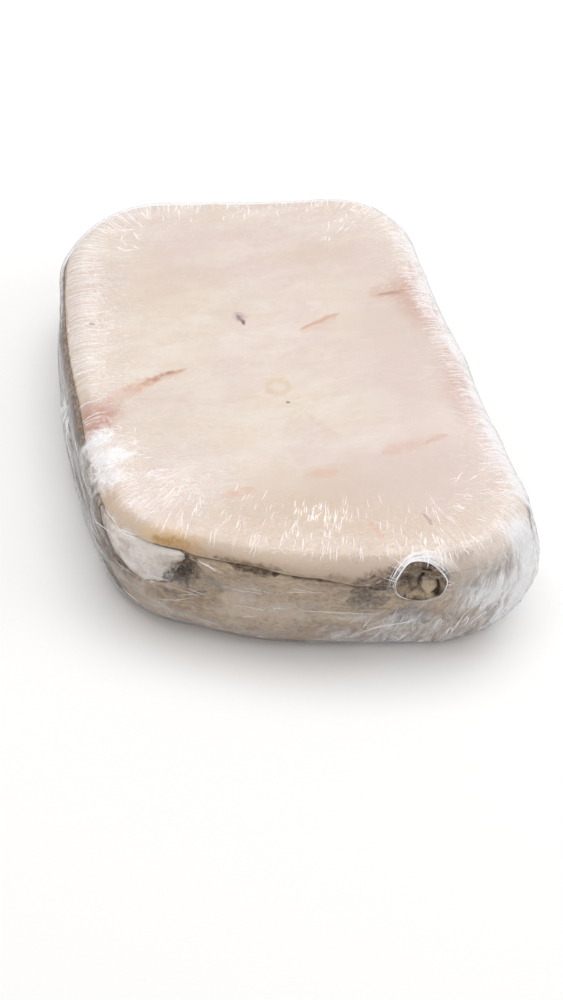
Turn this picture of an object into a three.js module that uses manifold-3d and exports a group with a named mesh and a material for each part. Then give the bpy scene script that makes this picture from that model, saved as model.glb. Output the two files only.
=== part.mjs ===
// A slab of frozen hake fillets in a tight wrap of clear shrink film, in millimetres, +Z up.
// Two layers of fillets are pressed together, pale flesh over grey skin, and a belly flap is
// folded round one corner. The film bridges their creases, ends its seam in a lug and has one
// round vent with a rolled edge, where the fish shows bare.
import * as THREE from 'three';
import Module from 'manifold-3d';
import { mergeVertices } from 'three/addons/utils/BufferGeometryUtils.js';

const wasm = await Module();
wasm.setup();

// Driving dimensions of the wrapped slab
const SLAB_HEIGHT = 52;
const TOP_ROLL = { height: 10, width: 12 };
const BOTTOM_ROLL = 6;

// The plan is a quadrilateral with round corners, seen from above and listed anticlockwise:
// near right, far right, far left, near left. Each corner also says how far the side that
// follows it bows out.
const PLAN_CORNERS = [
  { x: 95.4, y: -161.8, radius: 45, bow: -1.2 },
  { x: 89.4, y: 115.6, radius: 45, bow: -0.5 },
  { x: -82.8, y: 147.8, radius: 52, bow: 4.4 },
  { x: -94.8, y: -94.2, radius: 52, bow: 5.4 },
];
// Lengths along the wall start where the front side meets the near right corner, so the front
// side's places are below zero. Heights up the wall go on over the top roll as a length.

// The film, and the room between it and the fish
const FILM_CLEARANCE = 0.5;
const FILM_THICKNESS = 0.4;
const FILM_OUTSIDE = FILM_CLEARANCE + FILM_THICKNESS;

// Wide swells (+) and hollows (-) of the wall: their place, their reach each way and their size
const FISH_SWELLS = [
  { along: -85, reach: 80, up: 6, rise: 36, out: 3.6 },
  { along: -250, reach: 150, up: 12, rise: 34, out: 2.6 },
  { along: -20, reach: 55, up: 30, rise: 22, out: -2.4 },
];
// Where the film stands off the fish in loose folds
const FILM_SWELLS = [{ along: 56, reach: 44, up: 20, rise: 24, out: 6.4 }];
const WALL_BELLY = 1.2;
const WALL_LUMPS = [
  { size: 0.4, turns: 7, climbTurns: 0.8, start: 0 },
  { size: 0.3, turns: 13, climbTurns: -1.1, start: 2 },
];

// The top's soft waves, and the dips along the lines where fillets lie side by side
const TOP_WAVES = {
  cross: 0.45,
  crossLength: 120,
  crossStart: 1,
  crossWidth: 170,
  slant: 0.35,
  slantLength: 258,
};
const TOP_DIPS = [
  { y: 10, slope: 0.28, reach: 26, depth: 0.6 },
  { y: -76, slope: 0.1, reach: 24, depth: 0.5 },
];

// The crease between the two layers: its height at places along the wall, and its form
const CREASE_HEIGHTS = [
  { along: -390, value: 44 },
  { along: -230, value: 46.6 },
  { along: -120, value: 46.6 },
  { along: -102, value: 44.4 },
  { along: -72, value: 45.6 },
  { along: -46, value: 43.8 },
  { along: -22, value: 39.6 },
  { along: -9, value: 46 },
  { along: 2, value: 48.6 },
  { along: 14, value: 46 },
  { along: 60, value: 43.5 },
  { along: 250, value: 41 },
];
const CREASE = { gap: 0.6, depth: 2, softness: 3, middleHeight: 42 };
const LEDGE = { along: -32, reach: 42, rise: 12, out: 1.1 };

// The vent: an oval hole in the film with a rolled edge, and a bare hollow in the fish behind
const VENT = { along: 1, up: 40.2, halfWidth: 11.4, halfHeight: 10.4 };
const VENT_ROLL = { radius: 1.1, bunching: 0.35, ripple: 0.12, ripples: 5 };
const VENT_HOLLOW = { halfWidth: 12.6, halfHeight: 11.8, halfDepth: 3.8 };
const VENT_CLEFT = { across: -0.5, up: 1.5, halfWidth: 0.9, halfHeight: 8, halfDepth: 7, lean: 7 };
const VENT_TIP = { across: 4.6, up: -5.4, halfWidth: 3.7, halfHeight: 3.2, halfDepth: 2.6, depth: 2.9 };

// The belly flap on the near left corner: the heights of its two edges along the wall
const FLAP_HEAD = [
  { along: -148, value: 42.6 },
  { along: -132, value: 45 },
  { along: -111, value: 43.2 },
  { along: -101, value: 38.6 },
];
const FLAP_FOOT = [
  { along: -148, value: 34 },
  { along: -137, value: 25 },
  { along: -121, value: 19 },
  { along: -110, value: 27.5 },
  { along: -101, value: 37.4 },
];
const FLAP = { from: -148, to: -101, edge: 1.6, belly: 2.2, sunk: 0.1, round: 0.9, gap: 0.5 };
const FLAP_FULLNESS = { first: 0.2, last: 0.92 };

// The pocket that opens between the flap's tip and the slanted fold beside it
const POCKET_HEAD = [
  { along: -119, value: 22 },
  { along: -98, value: 42.8 },
  { along: -84, value: 24 },
];
const POCKET_FOOT = [
  { along: -119, value: 17 },
  { along: -98, value: 21 },
  { along: -84, value: 20.5 },
];
const POCKET = { from: -119, to: -84, depth: 3.4, above: 4, rim: 0.4 };
const POCKET_FULLNESS = { first: 0.25, last: 1 };

// The lug where the film's seam ends on the left side
const LUG = { along: -229, up: 31, halfLength: 4.2, halfHeight: 5, halfWidth: 2.8 };

// Facets
const COARSE_STEP = 12;
const FINE_STEP = 5;
const FINE_STRETCHES = [
  { from: -165, to: -80 },
  { from: -20, to: 25 },
];
const BOTTOM_ROLL_ANGLES = [90, 60, 28];
const TOP_ROLL_ANGLES = [0, 18, 36, 54, 72, 90];
const FLOOR_SHARES = [0.35, 0.75];
const FILM_WALL_SHARES = [0, 0.2, 0.4, 0.6, 0.8];
const LOWER_WALL_SHARES = [0, 0.2, 0.4, 0.6, 0.78, 0.91, 1];
const UPPER_WALL_SHARES = [0.1, 0.25, 0.42, 0.6, 0.8, 1];
const LID_SHARES = [0.86, 0.68, 0.46, 0.22];
const INNER_FACE_SHARE = 0.6;
const PATCH_STEPS = { along: 14, up: 7 };
const VENT_STEPS = { round: 32, rollSides: 6, eggRound: 20, eggRise: 12 };
const LUG_STEPS = { round: 12, rise: 8 };

const UP = new THREE.Vector3(0, 0, 1);
const ROLL_LENGTH_PER_RADIAN = (TOP_ROLL.height + TOP_ROLL.width) / 2;
const ROLL_LENGTH = (ROLL_LENGTH_PER_RADIAN * Math.PI) / 2;

/** 1 at zero distance, falling smoothly to 0 where the distance reaches 1. */
function softSpot(distance) {
  const t = Math.min(Math.abs(distance), 1);
  return (1 - t * t) ** 2;
}

/** The plan's points, closely spaced: arcs at the corners and bowed sides between them. */
function planPoints() {
  const stepsPerArc = 40;
  const stepsPerSide = 80;
  const arcs = PLAN_CORNERS.map((corner, index) => {
    const here = new THREE.Vector2(corner.x, corner.y);
    const last = PLAN_CORNERS.at(index - 1);
    const next = PLAN_CORNERS[(index + 1) % PLAN_CORNERS.length];
    const toLast = new THREE.Vector2(last.x, last.y).sub(here).normalize();
    const toNext = new THREE.Vector2(next.x, next.y).sub(here).normalize();
    const halfAngle = Math.acos(toLast.dot(toNext)) / 2;
    const centre = toLast.clone().add(toNext).normalize();
    centre.multiplyScalar(corner.radius / Math.sin(halfAngle)).add(here);
    const reach = corner.radius / Math.tan(halfAngle);
    const start = toLast.multiplyScalar(reach).add(here).sub(centre).angle();
    const end = toNext.multiplyScalar(reach).add(here).sub(centre).angle();
    const turn = THREE.MathUtils.euclideanModulo(end - start, 2 * Math.PI);
    return Array.from({ length: stepsPerArc + 1 }, (_, step) => {
      const angle = start + (turn * step) / stepsPerArc;
      const spoke = new THREE.Vector2(Math.cos(angle), Math.sin(angle));
      return spoke.multiplyScalar(corner.radius).add(centre);
    });
  });
  return arcs.flatMap((arc, index) => {
    const start = arc.at(-1);
    const end = arcs[(index + 1) % arcs.length][0];
    const outward = new THREE.Vector2(end.y - start.y, start.x - end.x).normalize();
    const side = [];
    for (let step = 1; step < stepsPerSide; step += 1) {
      const share = step / stepsPerSide;
      const bow = PLAN_CORNERS[index].bow * 4 * share * (1 - share);
      side.push(start.clone().lerp(end, share).addScaledVector(outward, bow));
    }
    return [...arc, ...side];
  });
}

const outline = planPoints();
const reaches = [0];
for (const [index, point] of outline.entries()) {
  reaches.push(reaches[index] + point.distanceTo(outline[(index + 1) % outline.length]));
}
const GIRTH = reaches.at(-1);
const middle = new THREE.Box2().setFromPoints(outline).getCenter(new THREE.Vector2());

/** The plan's point and outward direction at a length along the wall. */
function planAt(along) {
  const length = THREE.MathUtils.euclideanModulo(along, GIRTH);
  let index = 0;
  while (reaches[index + 1] < length) index += 1;
  const share = (length - reaches[index]) / (reaches[index + 1] - reaches[index]);
  const here = outline[index];
  const next = outline[(index + 1) % outline.length];
  const before = outline.at(index - 1);
  const after = outline[(index + 2) % outline.length];
  const way = next.clone().sub(before).lerp(after.clone().sub(here), share).normalize();
  return { point: here.clone().lerp(next, share), outward: new THREE.Vector2(way.y, -way.x) };
}

/** The shorter signed way along the wall from one place to another. */
function wayAlong(from, to) {
  return THREE.MathUtils.euclideanModulo(to - from + GIRTH / 2, GIRTH) - GIRTH / 2;
}

/** A value that eases from each listed station along the wall to the next, all the way round. */
function easedValue(stations, along) {
  const start = stations[0].along;
  const place = start + THREE.MathUtils.euclideanModulo(along - start, GIRTH);
  const index = stations.findLastIndex((station) => station.along <= place);
  const here = stations[index];
  const next = stations[index + 1] ?? { along: start + GIRTH, value: stations[0].value };
  const share = THREE.MathUtils.smoothstep(place, here.along, next.along);
  return THREE.MathUtils.lerp(here.value, next.value, share);
}

/** The sum of wide swells at a place on the wall. */
function swellOf(swells, along, up) {
  return swells.reduce((sum, swell) => {
    const across = softSpot(wayAlong(swell.along, along) / swell.reach);
    return sum + swell.out * across * softSpot((up - swell.up) / swell.rise);
  }, 0);
}

/** How far the fish swells out of the plan, from the pressed fillets' uneven edges. */
function fishSwell(along, up) {
  const turn = (2 * Math.PI * along) / GIRTH;
  const climb = THREE.MathUtils.clamp(up / SLAB_HEIGHT, 0, 1);
  const belly = WALL_BELLY * Math.sin(Math.PI * climb);
  const lumps = WALL_LUMPS.reduce((sum, lump) => {
    const angle = lump.turns * turn + 2 * Math.PI * lump.climbTurns * climb + lump.start;
    return sum + lump.size * Math.sin(angle);
  }, 0);
  return belly + lumps + swellOf(FISH_SWELLS, along, up);
}

/** The height of the fish's top at a place in the plan. */
function topHeight(x, y) {
  const turn = 2 * Math.PI;
  const cross = Math.sin((turn * x) / TOP_WAVES.crossLength + TOP_WAVES.crossStart);
  const waves = TOP_WAVES.cross * cross * Math.sin((turn * y) / TOP_WAVES.crossWidth);
  const slant = TOP_WAVES.slant * Math.sin((turn * (x + 2 * y)) / TOP_WAVES.slantLength);
  const dips = TOP_DIPS.reduce((sum, dip) => {
    return sum - dip.depth * softSpot((y - dip.y - dip.slope * x) / dip.reach);
  }, 0);
  return SLAB_HEIGHT - FILM_OUTSIDE + waves + slant + dips;
}

/** The height where the top roll begins on the wall. */
function rollStart(along) {
  const { point } = planAt(along);
  return topHeight(point.x, point.y) - TOP_ROLL.height;
}

/**
 * A point on the wall or a roll. Up is the length up the bare fish's wall and on over its top
 * roll, offset is how far out of that surface the point lies, and swell is added to the plan.
 */
function wallPoint(along, up, offset, swell) {
  const { point, outward } = planAt(along);
  const foot = FILM_OUTSIDE;
  const head = rollStart(along);
  let height = up;
  let inset = 0;
  let outShare = 1;
  let upShare = 0;
  if (up < foot + BOTTOM_ROLL) {
    upShare = -Math.min((foot + BOTTOM_ROLL - up) / BOTTOM_ROLL, 1);
    outShare = Math.sqrt(1 - upShare * upShare);
    inset = BOTTOM_ROLL * (1 - outShare);
  } else if (up > head) {
    const angle = Math.min((up - head) / ROLL_LENGTH_PER_RADIAN, Math.PI / 2);
    upShare = Math.sin(angle);
    outShare = Math.cos(angle);
    inset = TOP_ROLL.width * (1 - outShare);
    height = head + TOP_ROLL.height * upShare;
  }
  const flatShare = 0.35;
  const out = swell * Math.max(outShare, flatShare) - inset + offset * outShare;
  const plan = point.clone().addScaledVector(outward, out);
  return new THREE.Vector3(plan.x, plan.y, height + offset * upShare);
}

/** A point of the bare fish's wall, or at an offset out of it. */
function fishPoint(along, up, offset = 0) {
  return wallPoint(along, up, offset, fishSwell(along, up));
}

/** A point of the film at an offset out of the fish, with the film's loose folds. */
function filmPoint(along, up, offset) {
  const swell = fishSwell(along, up) + swellOf(FILM_SWELLS, along, up);
  return wallPoint(along, up, offset, swell);
}

/** The places along the wall of the facets' columns, closer together at the fine features. */
function columnPlaces() {
  const places = [];
  let place = FINE_STRETCHES[0].from;
  const end = place + GIRTH;
  while (place < end - COARSE_STEP / 2) {
    places.push(place);
    const fine = FINE_STRETCHES.some((stretch) => {
      const way = wayAlong(stretch.from, place);
      return way >= 0 && way < stretch.to - stretch.from;
    });
    place += fine ? FINE_STEP : COARSE_STEP;
  }
  return places;
}

const columns = columnPlaces();

/** One ring of points round the slab, from a function of the length along the wall. */
function ringOf(pointAt) {
  return columns.map((along) => pointAt(along));
}

/** A ring drawn in towards the plan's middle, with heights from a function. */
function shrunkRing(ring, share, heightAt) {
  return ring.map((edge) => {
    const x = THREE.MathUtils.lerp(middle.x, edge.x, share);
    const y = THREE.MathUtils.lerp(middle.y, edge.y, share);
    return new THREE.Vector3(x, y, heightAt(x, y, edge));
  });
}

/** A geometry from points and triangles. */
function geometryFrom(points, triangles) {
  const geometry = new THREE.BufferGeometry().setFromPoints(points);
  geometry.setIndex(triangles);
  return geometry;
}

/** A closed geometry from rings of equal length, shut at each end by a fan to a pole. */
function closedSkin(firstPole, rings, lastPole) {
  const count = rings[0].length;
  const points = [firstPole, ...rings.flat(), lastPole];
  const triangles = [];
  for (let column = 0; column < count; column += 1) {
    const next = (column + 1) % count;
    triangles.push(0, 1 + next, 1 + column);
    for (let ring = 0; ring + 1 < rings.length; ring += 1) {
      const low = 1 + ring * count;
      const high = low + count;
      triangles.push(low + column, low + next, high + next);
      triangles.push(low + column, high + next, high + column);
    }
    const end = 1 + (rings.length - 1) * count;
    triangles.push(points.length - 1, end + column, end + next);
  }
  return geometryFrom(points, triangles);
}

/** The rings of a bottom roll, from the floor to where the wall starts. */
function bottomRollRings(pointAt) {
  return BOTTOM_ROLL_ANGLES.map((angle) => {
    const rise = BOTTOM_ROLL * (1 - Math.sin(THREE.MathUtils.degToRad(angle)));
    return ringOf((along) => pointAt(along, FILM_OUTSIDE + rise));
  });
}

/** A skin of the whole film at an offset from the fish. */
function filmSkin(offset) {
  const rest = FILM_OUTSIDE - offset;
  const pointAt = (along, up) => filmPoint(along, up, offset);
  const rolled = bottomRollRings(pointAt);
  const rings = FLOOR_SHARES.map((share) => shrunkRing(rolled[0], share, () => rest));
  rings.push(...rolled);
  const foot = FILM_OUTSIDE + BOTTOM_ROLL;
  for (const share of FILM_WALL_SHARES) {
    const upAt = (along) => THREE.MathUtils.lerp(foot, rollStart(along), share);
    rings.push(ringOf((along) => pointAt(along, upAt(along))));
  }
  for (const angle of TOP_ROLL_ANGLES) {
    const climb = THREE.MathUtils.degToRad(angle) * ROLL_LENGTH_PER_RADIAN;
    rings.push(ringOf((along) => pointAt(along, rollStart(along) + climb)));
  }
  const rim = rings.at(-1);
  const lid = (x, y) => topHeight(x, y) + offset;
  for (const share of LID_SHARES) rings.push(shrunkRing(rim, share, lid));
  const bottomPole = new THREE.Vector3(middle.x, middle.y, rest);
  const topPole = new THREE.Vector3(middle.x, middle.y, lid(middle.x, middle.y));
  return closedSkin(bottomPole, rings, topPole);
}

/** How far a layer's edge rounds in beside the crease. */
function creaseRound(distance) {
  return -CREASE.depth * Math.exp(-distance / CREASE.softness);
}

/** How far the upper layer hangs over the lower one, at a height above the crease. */
function ledgeOut(along, distance) {
  const across = softSpot(wayAlong(LEDGE.along, along) / LEDGE.reach);
  return LEDGE.out * across * softSpot(distance / LEDGE.rise);
}

/** The heights of a layer's inner face, halfway from its edge to the crease's middle height. */
function innerFace(side) {
  const level = CREASE.middleHeight + (side * CREASE.gap) / 2;
  return (x, y, edge) => THREE.MathUtils.lerp(edge.z, level, 0.5);
}

/** The pale upper layer, from the crease over the top roll to the flat top. */
function upperLayer() {
  const pointAt = (along, share) => {
    const low = easedValue(CREASE_HEIGHTS, along) + CREASE.gap / 2;
    const up = THREE.MathUtils.lerp(low, rollStart(along) + ROLL_LENGTH, share);
    const extra = creaseRound(up - low) + ledgeOut(along, up - low);
    return wallPoint(along, up, 0, fishSwell(along, up) + extra);
  };
  const edge = ringOf((along) => pointAt(along, 0));
  const rings = [shrunkRing(edge, INNER_FACE_SHARE, innerFace(1)), edge];
  for (const share of UPPER_WALL_SHARES) {
    rings.push(ringOf((along) => pointAt(along, share)));
  }
  const rim = rings.at(-1);
  for (const share of LID_SHARES) rings.push(shrunkRing(rim, share, topHeight));
  const under = new THREE.Vector3(middle.x, middle.y, CREASE.middleHeight + CREASE.gap / 2);
  const over = new THREE.Vector3(middle.x, middle.y, topHeight(middle.x, middle.y));
  return closedSkin(under, rings, over);
}

/** The grey lower layer, from its flat foot up to the crease. */
function lowerLayer() {
  const rolled = bottomRollRings((along, up) => fishPoint(along, up));
  const rings = [shrunkRing(rolled[0], INNER_FACE_SHARE, () => FILM_OUTSIDE), ...rolled];
  const foot = FILM_OUTSIDE + BOTTOM_ROLL;
  for (const share of LOWER_WALL_SHARES) {
    rings.push(
      ringOf((along) => {
        const high = easedValue(CREASE_HEIGHTS, along) - CREASE.gap / 2;
        const up = THREE.MathUtils.lerp(foot, high, share);
        return wallPoint(along, up, 0, fishSwell(along, up) + creaseRound(high - up));
      }),
    );
  }
  rings.push(shrunkRing(rings.at(-1), INNER_FACE_SHARE, innerFace(-1)));
  const under = new THREE.Vector3(middle.x, middle.y, FILM_OUTSIDE);
  const over = new THREE.Vector3(middle.x, middle.y, CREASE.middleHeight - CREASE.gap / 2);
  return closedSkin(under, rings, over);
}

/**
 * A closed patch that follows the wall. Its edges are lists of heights along the wall, and its
 * two faces are offsets from the fish, as functions of the shares along and up the patch.
 */
function wallPatch({ from, to, foot, head, outerAt, innerAt, margin = 0 }) {
  const steps = PATCH_STEPS;
  const faces = [outerAt, innerAt].map((offsetAt) => {
    const points = [];
    for (let column = 0; column <= steps.along; column += 1) {
      const share = column / steps.along;
      const place = THREE.MathUtils.lerp(from, to, share);
      const along = THREE.MathUtils.lerp(from - margin, to + margin, share);
      const low = easedValue(foot, place) - margin;
      const high = easedValue(head, place) + margin;
      for (let row = 0; row <= steps.up; row += 1) {
        const rise = row / steps.up;
        const up = THREE.MathUtils.lerp(low, high, rise);
        points.push(fishPoint(along, up, offsetAt(share, rise)));
      }
    }
    return points;
  });
  const inner = faces[0].length;
  const at = (column, row) => column * (steps.up + 1) + row;
  const triangles = [];
  const quad = (a, b, c, d) => triangles.push(a, b, c, a, c, d);
  for (let column = 0; column < steps.along; column += 1) {
    for (let row = 0; row < steps.up; row += 1) {
      const [a, b] = [at(column, row), at(column + 1, row)];
      quad(a, b, b + 1, a + 1);
      quad(inner + a + 1, inner + b + 1, inner + b, inner + a);
    }
    const [a, b] = [at(column, 0), at(column + 1, 0)];
    quad(inner + a, inner + b, b, a);
    const [c, d] = [at(column, steps.up), at(column + 1, steps.up)];
    quad(c, d, inner + d, inner + c);
  }
  for (let row = 0; row < steps.up; row += 1) {
    const [a, b] = [at(0, row), at(steps.along, row)];
    quad(a, a + 1, inner + a + 1, inner + a);
    quad(inner + b, inner + b + 1, b + 1, b);
  }
  return geometryFrom(faces.flat(), triangles);
}

/** How full a patch is, from 0 to 1, at shares along and up it. */
function fullnessAt(fullness, share, rise) {
  const along = Math.sin(Math.PI * THREE.MathUtils.lerp(fullness.first, fullness.last, share));
  return Math.sqrt(Math.sin(Math.PI * rise) * along);
}

/** The belly flap, or the room that it takes up in the fish with a gap all round it. */
function flapPatch(gap) {
  const thickness = (share, rise) => FLAP.edge + FLAP.belly * fullnessAt(FLAP_FULLNESS, share, rise);
  const roundOff = (rise) => FLAP.round * (1 - Math.sqrt(Math.sin(Math.PI * rise)));
  return wallPatch({
    ...FLAP,
    foot: FLAP_FOOT,
    head: FLAP_HEAD,
    margin: gap,
    outerAt: (share, rise) => (gap > 0 ? POCKET.above : -FLAP.sunk - roundOff(rise)),
    innerAt: (share, rise) => -FLAP.sunk - thickness(share, rise) - gap,
  });
}

/** The room of the pocket beside the flap, deepest next to the flap and fading at the fold. */
function pocketRoom() {
  const sink = (share, rise) => fullnessAt(POCKET_FULLNESS, share, rise);
  return wallPatch({
    ...POCKET,
    foot: POCKET_FOOT,
    head: POCKET_HEAD,
    outerAt: () => POCKET.above,
    innerAt: (share, rise) => POCKET.rim - (POCKET.depth + POCKET.rim) * sink(share, rise),
  });
}

/** A geometry as a solid for joining and cutting. */
function solidOf(geometry) {
  const bare = geometry.clone();
  bare.deleteAttribute('normal');
  bare.deleteAttribute('uv');
  const merged = mergeVertices(bare);
  return new wasm.Manifold(
    new wasm.Mesh({
      numProp: 3,
      vertProperties: new Float32Array(merged.attributes.position.array),
      triVerts: new Uint32Array(merged.index.array),
    }),
  );
}

/** A solid as a geometry again. */
function geometryOf(solid) {
  const mesh = solid.getMesh();
  const geometry = new THREE.BufferGeometry();
  geometry.setAttribute('position', new THREE.BufferAttribute(mesh.vertProperties, 3));
  geometry.setIndex(new THREE.BufferAttribute(mesh.triVerts, 1));
  return geometry;
}

/** The axes at the vent: across the wall to the right, up along it and straight out of it. */
function ventAxes() {
  const centre = fishPoint(VENT.along, VENT.up);
  const head = fishPoint(VENT.along, VENT.up + VENT.halfHeight);
  const foot = fishPoint(VENT.along, VENT.up - VENT.halfHeight);
  const up = head.sub(foot).normalize();
  const across = fishPoint(VENT.along + 1, VENT.up).sub(centre);
  across.projectOnPlane(up).normalize();
  return { centre, across, up, out: across.clone().cross(up) };
}

/** The vent's edge in the film, as points at an offset from the fish. */
function ventEdge(offset) {
  return Array.from({ length: VENT_STEPS.round }, (_, station) => {
    const angle = (2 * Math.PI * station) / VENT_STEPS.round;
    const along = VENT.along + VENT.halfWidth * Math.cos(angle);
    return filmPoint(along, VENT.up + VENT.halfHeight * Math.sin(angle), offset);
  });
}

/** A plug of the vent's own outline that cuts the film through. */
function ventPlug() {
  const reach = 9;
  const { centre, out } = ventAxes();
  const edge = ventEdge(FILM_CLEARANCE);
  const [inner, outer] = [-reach, reach].map((way) => {
    return edge.map((point) => point.clone().addScaledVector(out, way));
  });
  const innerPole = centre.clone().addScaledVector(out, -reach);
  const outerPole = centre.clone().addScaledVector(out, reach);
  return closedSkin(innerPole, [inner, outer], outerPole);
}

/** The rolled edge round the vent, thicker over its top where the film has bunched. */
function ventBead() {
  const sides = VENT_STEPS.rollSides;
  const centres = ventEdge(FILM_CLEARANCE + VENT_ROLL.radius);
  const { centre } = ventAxes();
  const count = centres.length;
  const points = [];
  const triangles = [];
  for (const [index, hub] of centres.entries()) {
    const turn = (2 * Math.PI * index) / count;
    const bunching = VENT_ROLL.bunching * Math.sin(turn);
    const ripple = VENT_ROLL.ripple * Math.sin(VENT_ROLL.ripples * turn);
    const radius = VENT_ROLL.radius * (1 + bunching + ripple);
    const way = centres[(index + 1) % count].clone().sub(centres.at(index - 1)).normalize();
    const outward = hub.clone().sub(centre).projectOnPlane(way).normalize();
    const across = way.clone().cross(outward);
    for (let side = 0; side < sides; side += 1) {
      const angle = (2 * Math.PI * side) / sides;
      const spoke = outward.clone().multiplyScalar(Math.cos(angle) * radius);
      points.push(spoke.addScaledVector(across, Math.sin(angle) * radius).add(hub));
      const nextSide = (side + 1) % sides;
      const here = index * sides;
      const next = ((index + 1) % count) * sides;
      triangles.push(here + side, here + nextSide, next + nextSide);
      triangles.push(here + side, next + nextSide, next + side);
    }
  }
  return geometryFrom(points, triangles);
}

/** An egg-shaped solid in the vent, at a depth below the fish's surface. */
function ventEgg({ halfWidth, halfHeight, halfDepth, across = 0, up = 0, depth = 0, lean = 0 }) {
  const egg = new THREE.SphereGeometry(1, VENT_STEPS.eggRound, VENT_STEPS.eggRise);
  egg.scale(halfWidth, halfHeight, halfDepth);
  egg.rotateZ(THREE.MathUtils.degToRad(lean));
  const axes = ventAxes();
  const frame = new THREE.Matrix4().makeBasis(axes.across, axes.up, axes.out);
  const place = axes.centre.clone();
  place.addScaledVector(axes.across, across).addScaledVector(axes.up, up);
  place.addScaledVector(axes.out, -depth);
  return solidOf(egg.applyMatrix4(frame.setPosition(place)));
}

/** The film's seam lug on the left side. */
function seamLug() {
  const egg = new THREE.SphereGeometry(1, LUG_STEPS.round, LUG_STEPS.rise);
  egg.scale(LUG.halfLength, LUG.halfHeight, LUG.halfWidth);
  const { outward } = planAt(LUG.along);
  const out = new THREE.Vector3(outward.x, outward.y, 0);
  const frame = new THREE.Matrix4().makeBasis(UP.clone().cross(out), UP, out);
  const place = filmPoint(LUG.along, LUG.up, FILM_OUTSIDE);
  return solidOf(egg.applyMatrix4(frame.setPosition(place)));
}

/** The film: a thin shell cut by the vent, with the vent's rolled edge and the lug joined on. */
function shrinkFilm() {
  const trims = solidOf(ventBead()).add(seamLug());
  const slabWithVent = solidOf(filmSkin(FILM_OUTSIDE)).subtract(solidOf(ventPlug()));
  return slabWithVent.add(trims).subtract(solidOf(filmSkin(FILM_CLEARANCE)));
}

// The bare hollow behind the vent, with its cleft, leaves the tip of a fillet standing in it
const ventRoom = ventEgg(VENT_HOLLOW).add(ventEgg(VENT_CLEFT)).subtract(ventEgg(VENT_TIP));
const upperFillets = solidOf(upperLayer()).subtract(ventRoom);
const lowerFillets = solidOf(lowerLayer())
  .subtract(ventRoom)
  .subtract(solidOf(flapPatch(FLAP.gap)))
  .subtract(solidOf(pocketRoom()));

/** A named mesh with its own material. */
function pieceOf(name, geometry, look) {
  geometry.computeVertexNormals();
  const mesh = new THREE.Mesh(geometry, new THREE.MeshStandardMaterial(look));
  mesh.name = name;
  return mesh;
}

const slab = new THREE.Group();
slab.add(
  pieceOf('upper_fillets', geometryOf(upperFillets), { color: 0xe8dcd2, roughness: 0.35 }),
  pieceOf('lower_fillets', geometryOf(lowerFillets), { color: 0xa89c92, roughness: 0.45 }),
  pieceOf('belly_flap', flapPatch(0), { color: 0xdcd6d0, roughness: 0.4 }),
  pieceOf('shrink_film', geometryOf(shrinkFilm()), {
    color: 0xf2f2f4,
    roughness: 0.12,
    transparent: true,
    opacity: 0.3,
  }),
);

// The slab rests on the floor, with its plan's box centred on the origin
const box = new THREE.Box3().setFromObject(slab);
const centre = box.getCenter(new THREE.Vector3());
slab.position.set(-centre.x, -centre.y, -box.min.z);

export default slab;
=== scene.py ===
"""A slab of pressed frozen hake fillets in a tight wrap of clear shrink film, for Blender 4.5.

The slab's form follows the same rules as its solids, in millimetres, and every mesh is made in
metres. "Along" is the length along the wall from where the front side meets the near right
corner, and "up" is the height on the wall, which goes on over the top roll as a length.
"""

import logging
import math
from dataclasses import dataclass, field
from enum import Enum

import bpy
import numpy as np
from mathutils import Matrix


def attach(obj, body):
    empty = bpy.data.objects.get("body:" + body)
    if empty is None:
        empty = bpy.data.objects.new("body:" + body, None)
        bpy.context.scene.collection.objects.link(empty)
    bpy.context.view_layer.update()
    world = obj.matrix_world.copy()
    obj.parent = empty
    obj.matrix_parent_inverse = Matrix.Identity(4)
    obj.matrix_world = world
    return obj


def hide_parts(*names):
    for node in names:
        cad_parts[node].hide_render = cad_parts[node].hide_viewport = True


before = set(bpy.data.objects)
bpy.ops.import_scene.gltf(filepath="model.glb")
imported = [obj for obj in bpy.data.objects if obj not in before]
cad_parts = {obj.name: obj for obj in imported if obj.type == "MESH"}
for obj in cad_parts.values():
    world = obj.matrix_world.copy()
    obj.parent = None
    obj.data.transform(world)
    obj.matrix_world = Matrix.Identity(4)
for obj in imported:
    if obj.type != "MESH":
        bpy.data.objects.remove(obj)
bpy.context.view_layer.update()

LOG = logging.getLogger("hake_slab")
MM = 0.001
Array = np.ndarray
Pair = tuple[float, float]
Colour = tuple[float, float, float, float]
SEAM_END: Pair = (-229, 31)


def tint(red: int, green: int, blue: int) -> Colour:
    """Turns a colour as it looks on a screen into the linear one that the shaders take.

    Args:
        red: The red, 0 to 255.
        green: The green, 0 to 255.
        blue: The blue, 0 to 255.

    Returns:
        The colour.
    """
    shares = [channel / 255 for channel in (red, green, blue)]
    linear = [s / 12.92 if s <= 0.04045 else ((s + 0.055) / 1.055) ** 2.4 for s in shares]
    return (linear[0], linear[1], linear[2], 1.0)


def soft_spot(distance: Array) -> Array:
    """Gives 1 at zero distance, falling smoothly to 0 where the distance reaches 1."""
    near = np.minimum(np.abs(distance), 1)
    return (1 - near * near) ** 2


def eased_step(value: Array, low: float, high: float) -> Array:
    """Gives 0 below low, 1 above high and a smooth climb between them."""
    share = np.clip((value - low) / (high - low), 0, 1)
    return share * share * (3 - 2 * share)


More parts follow.
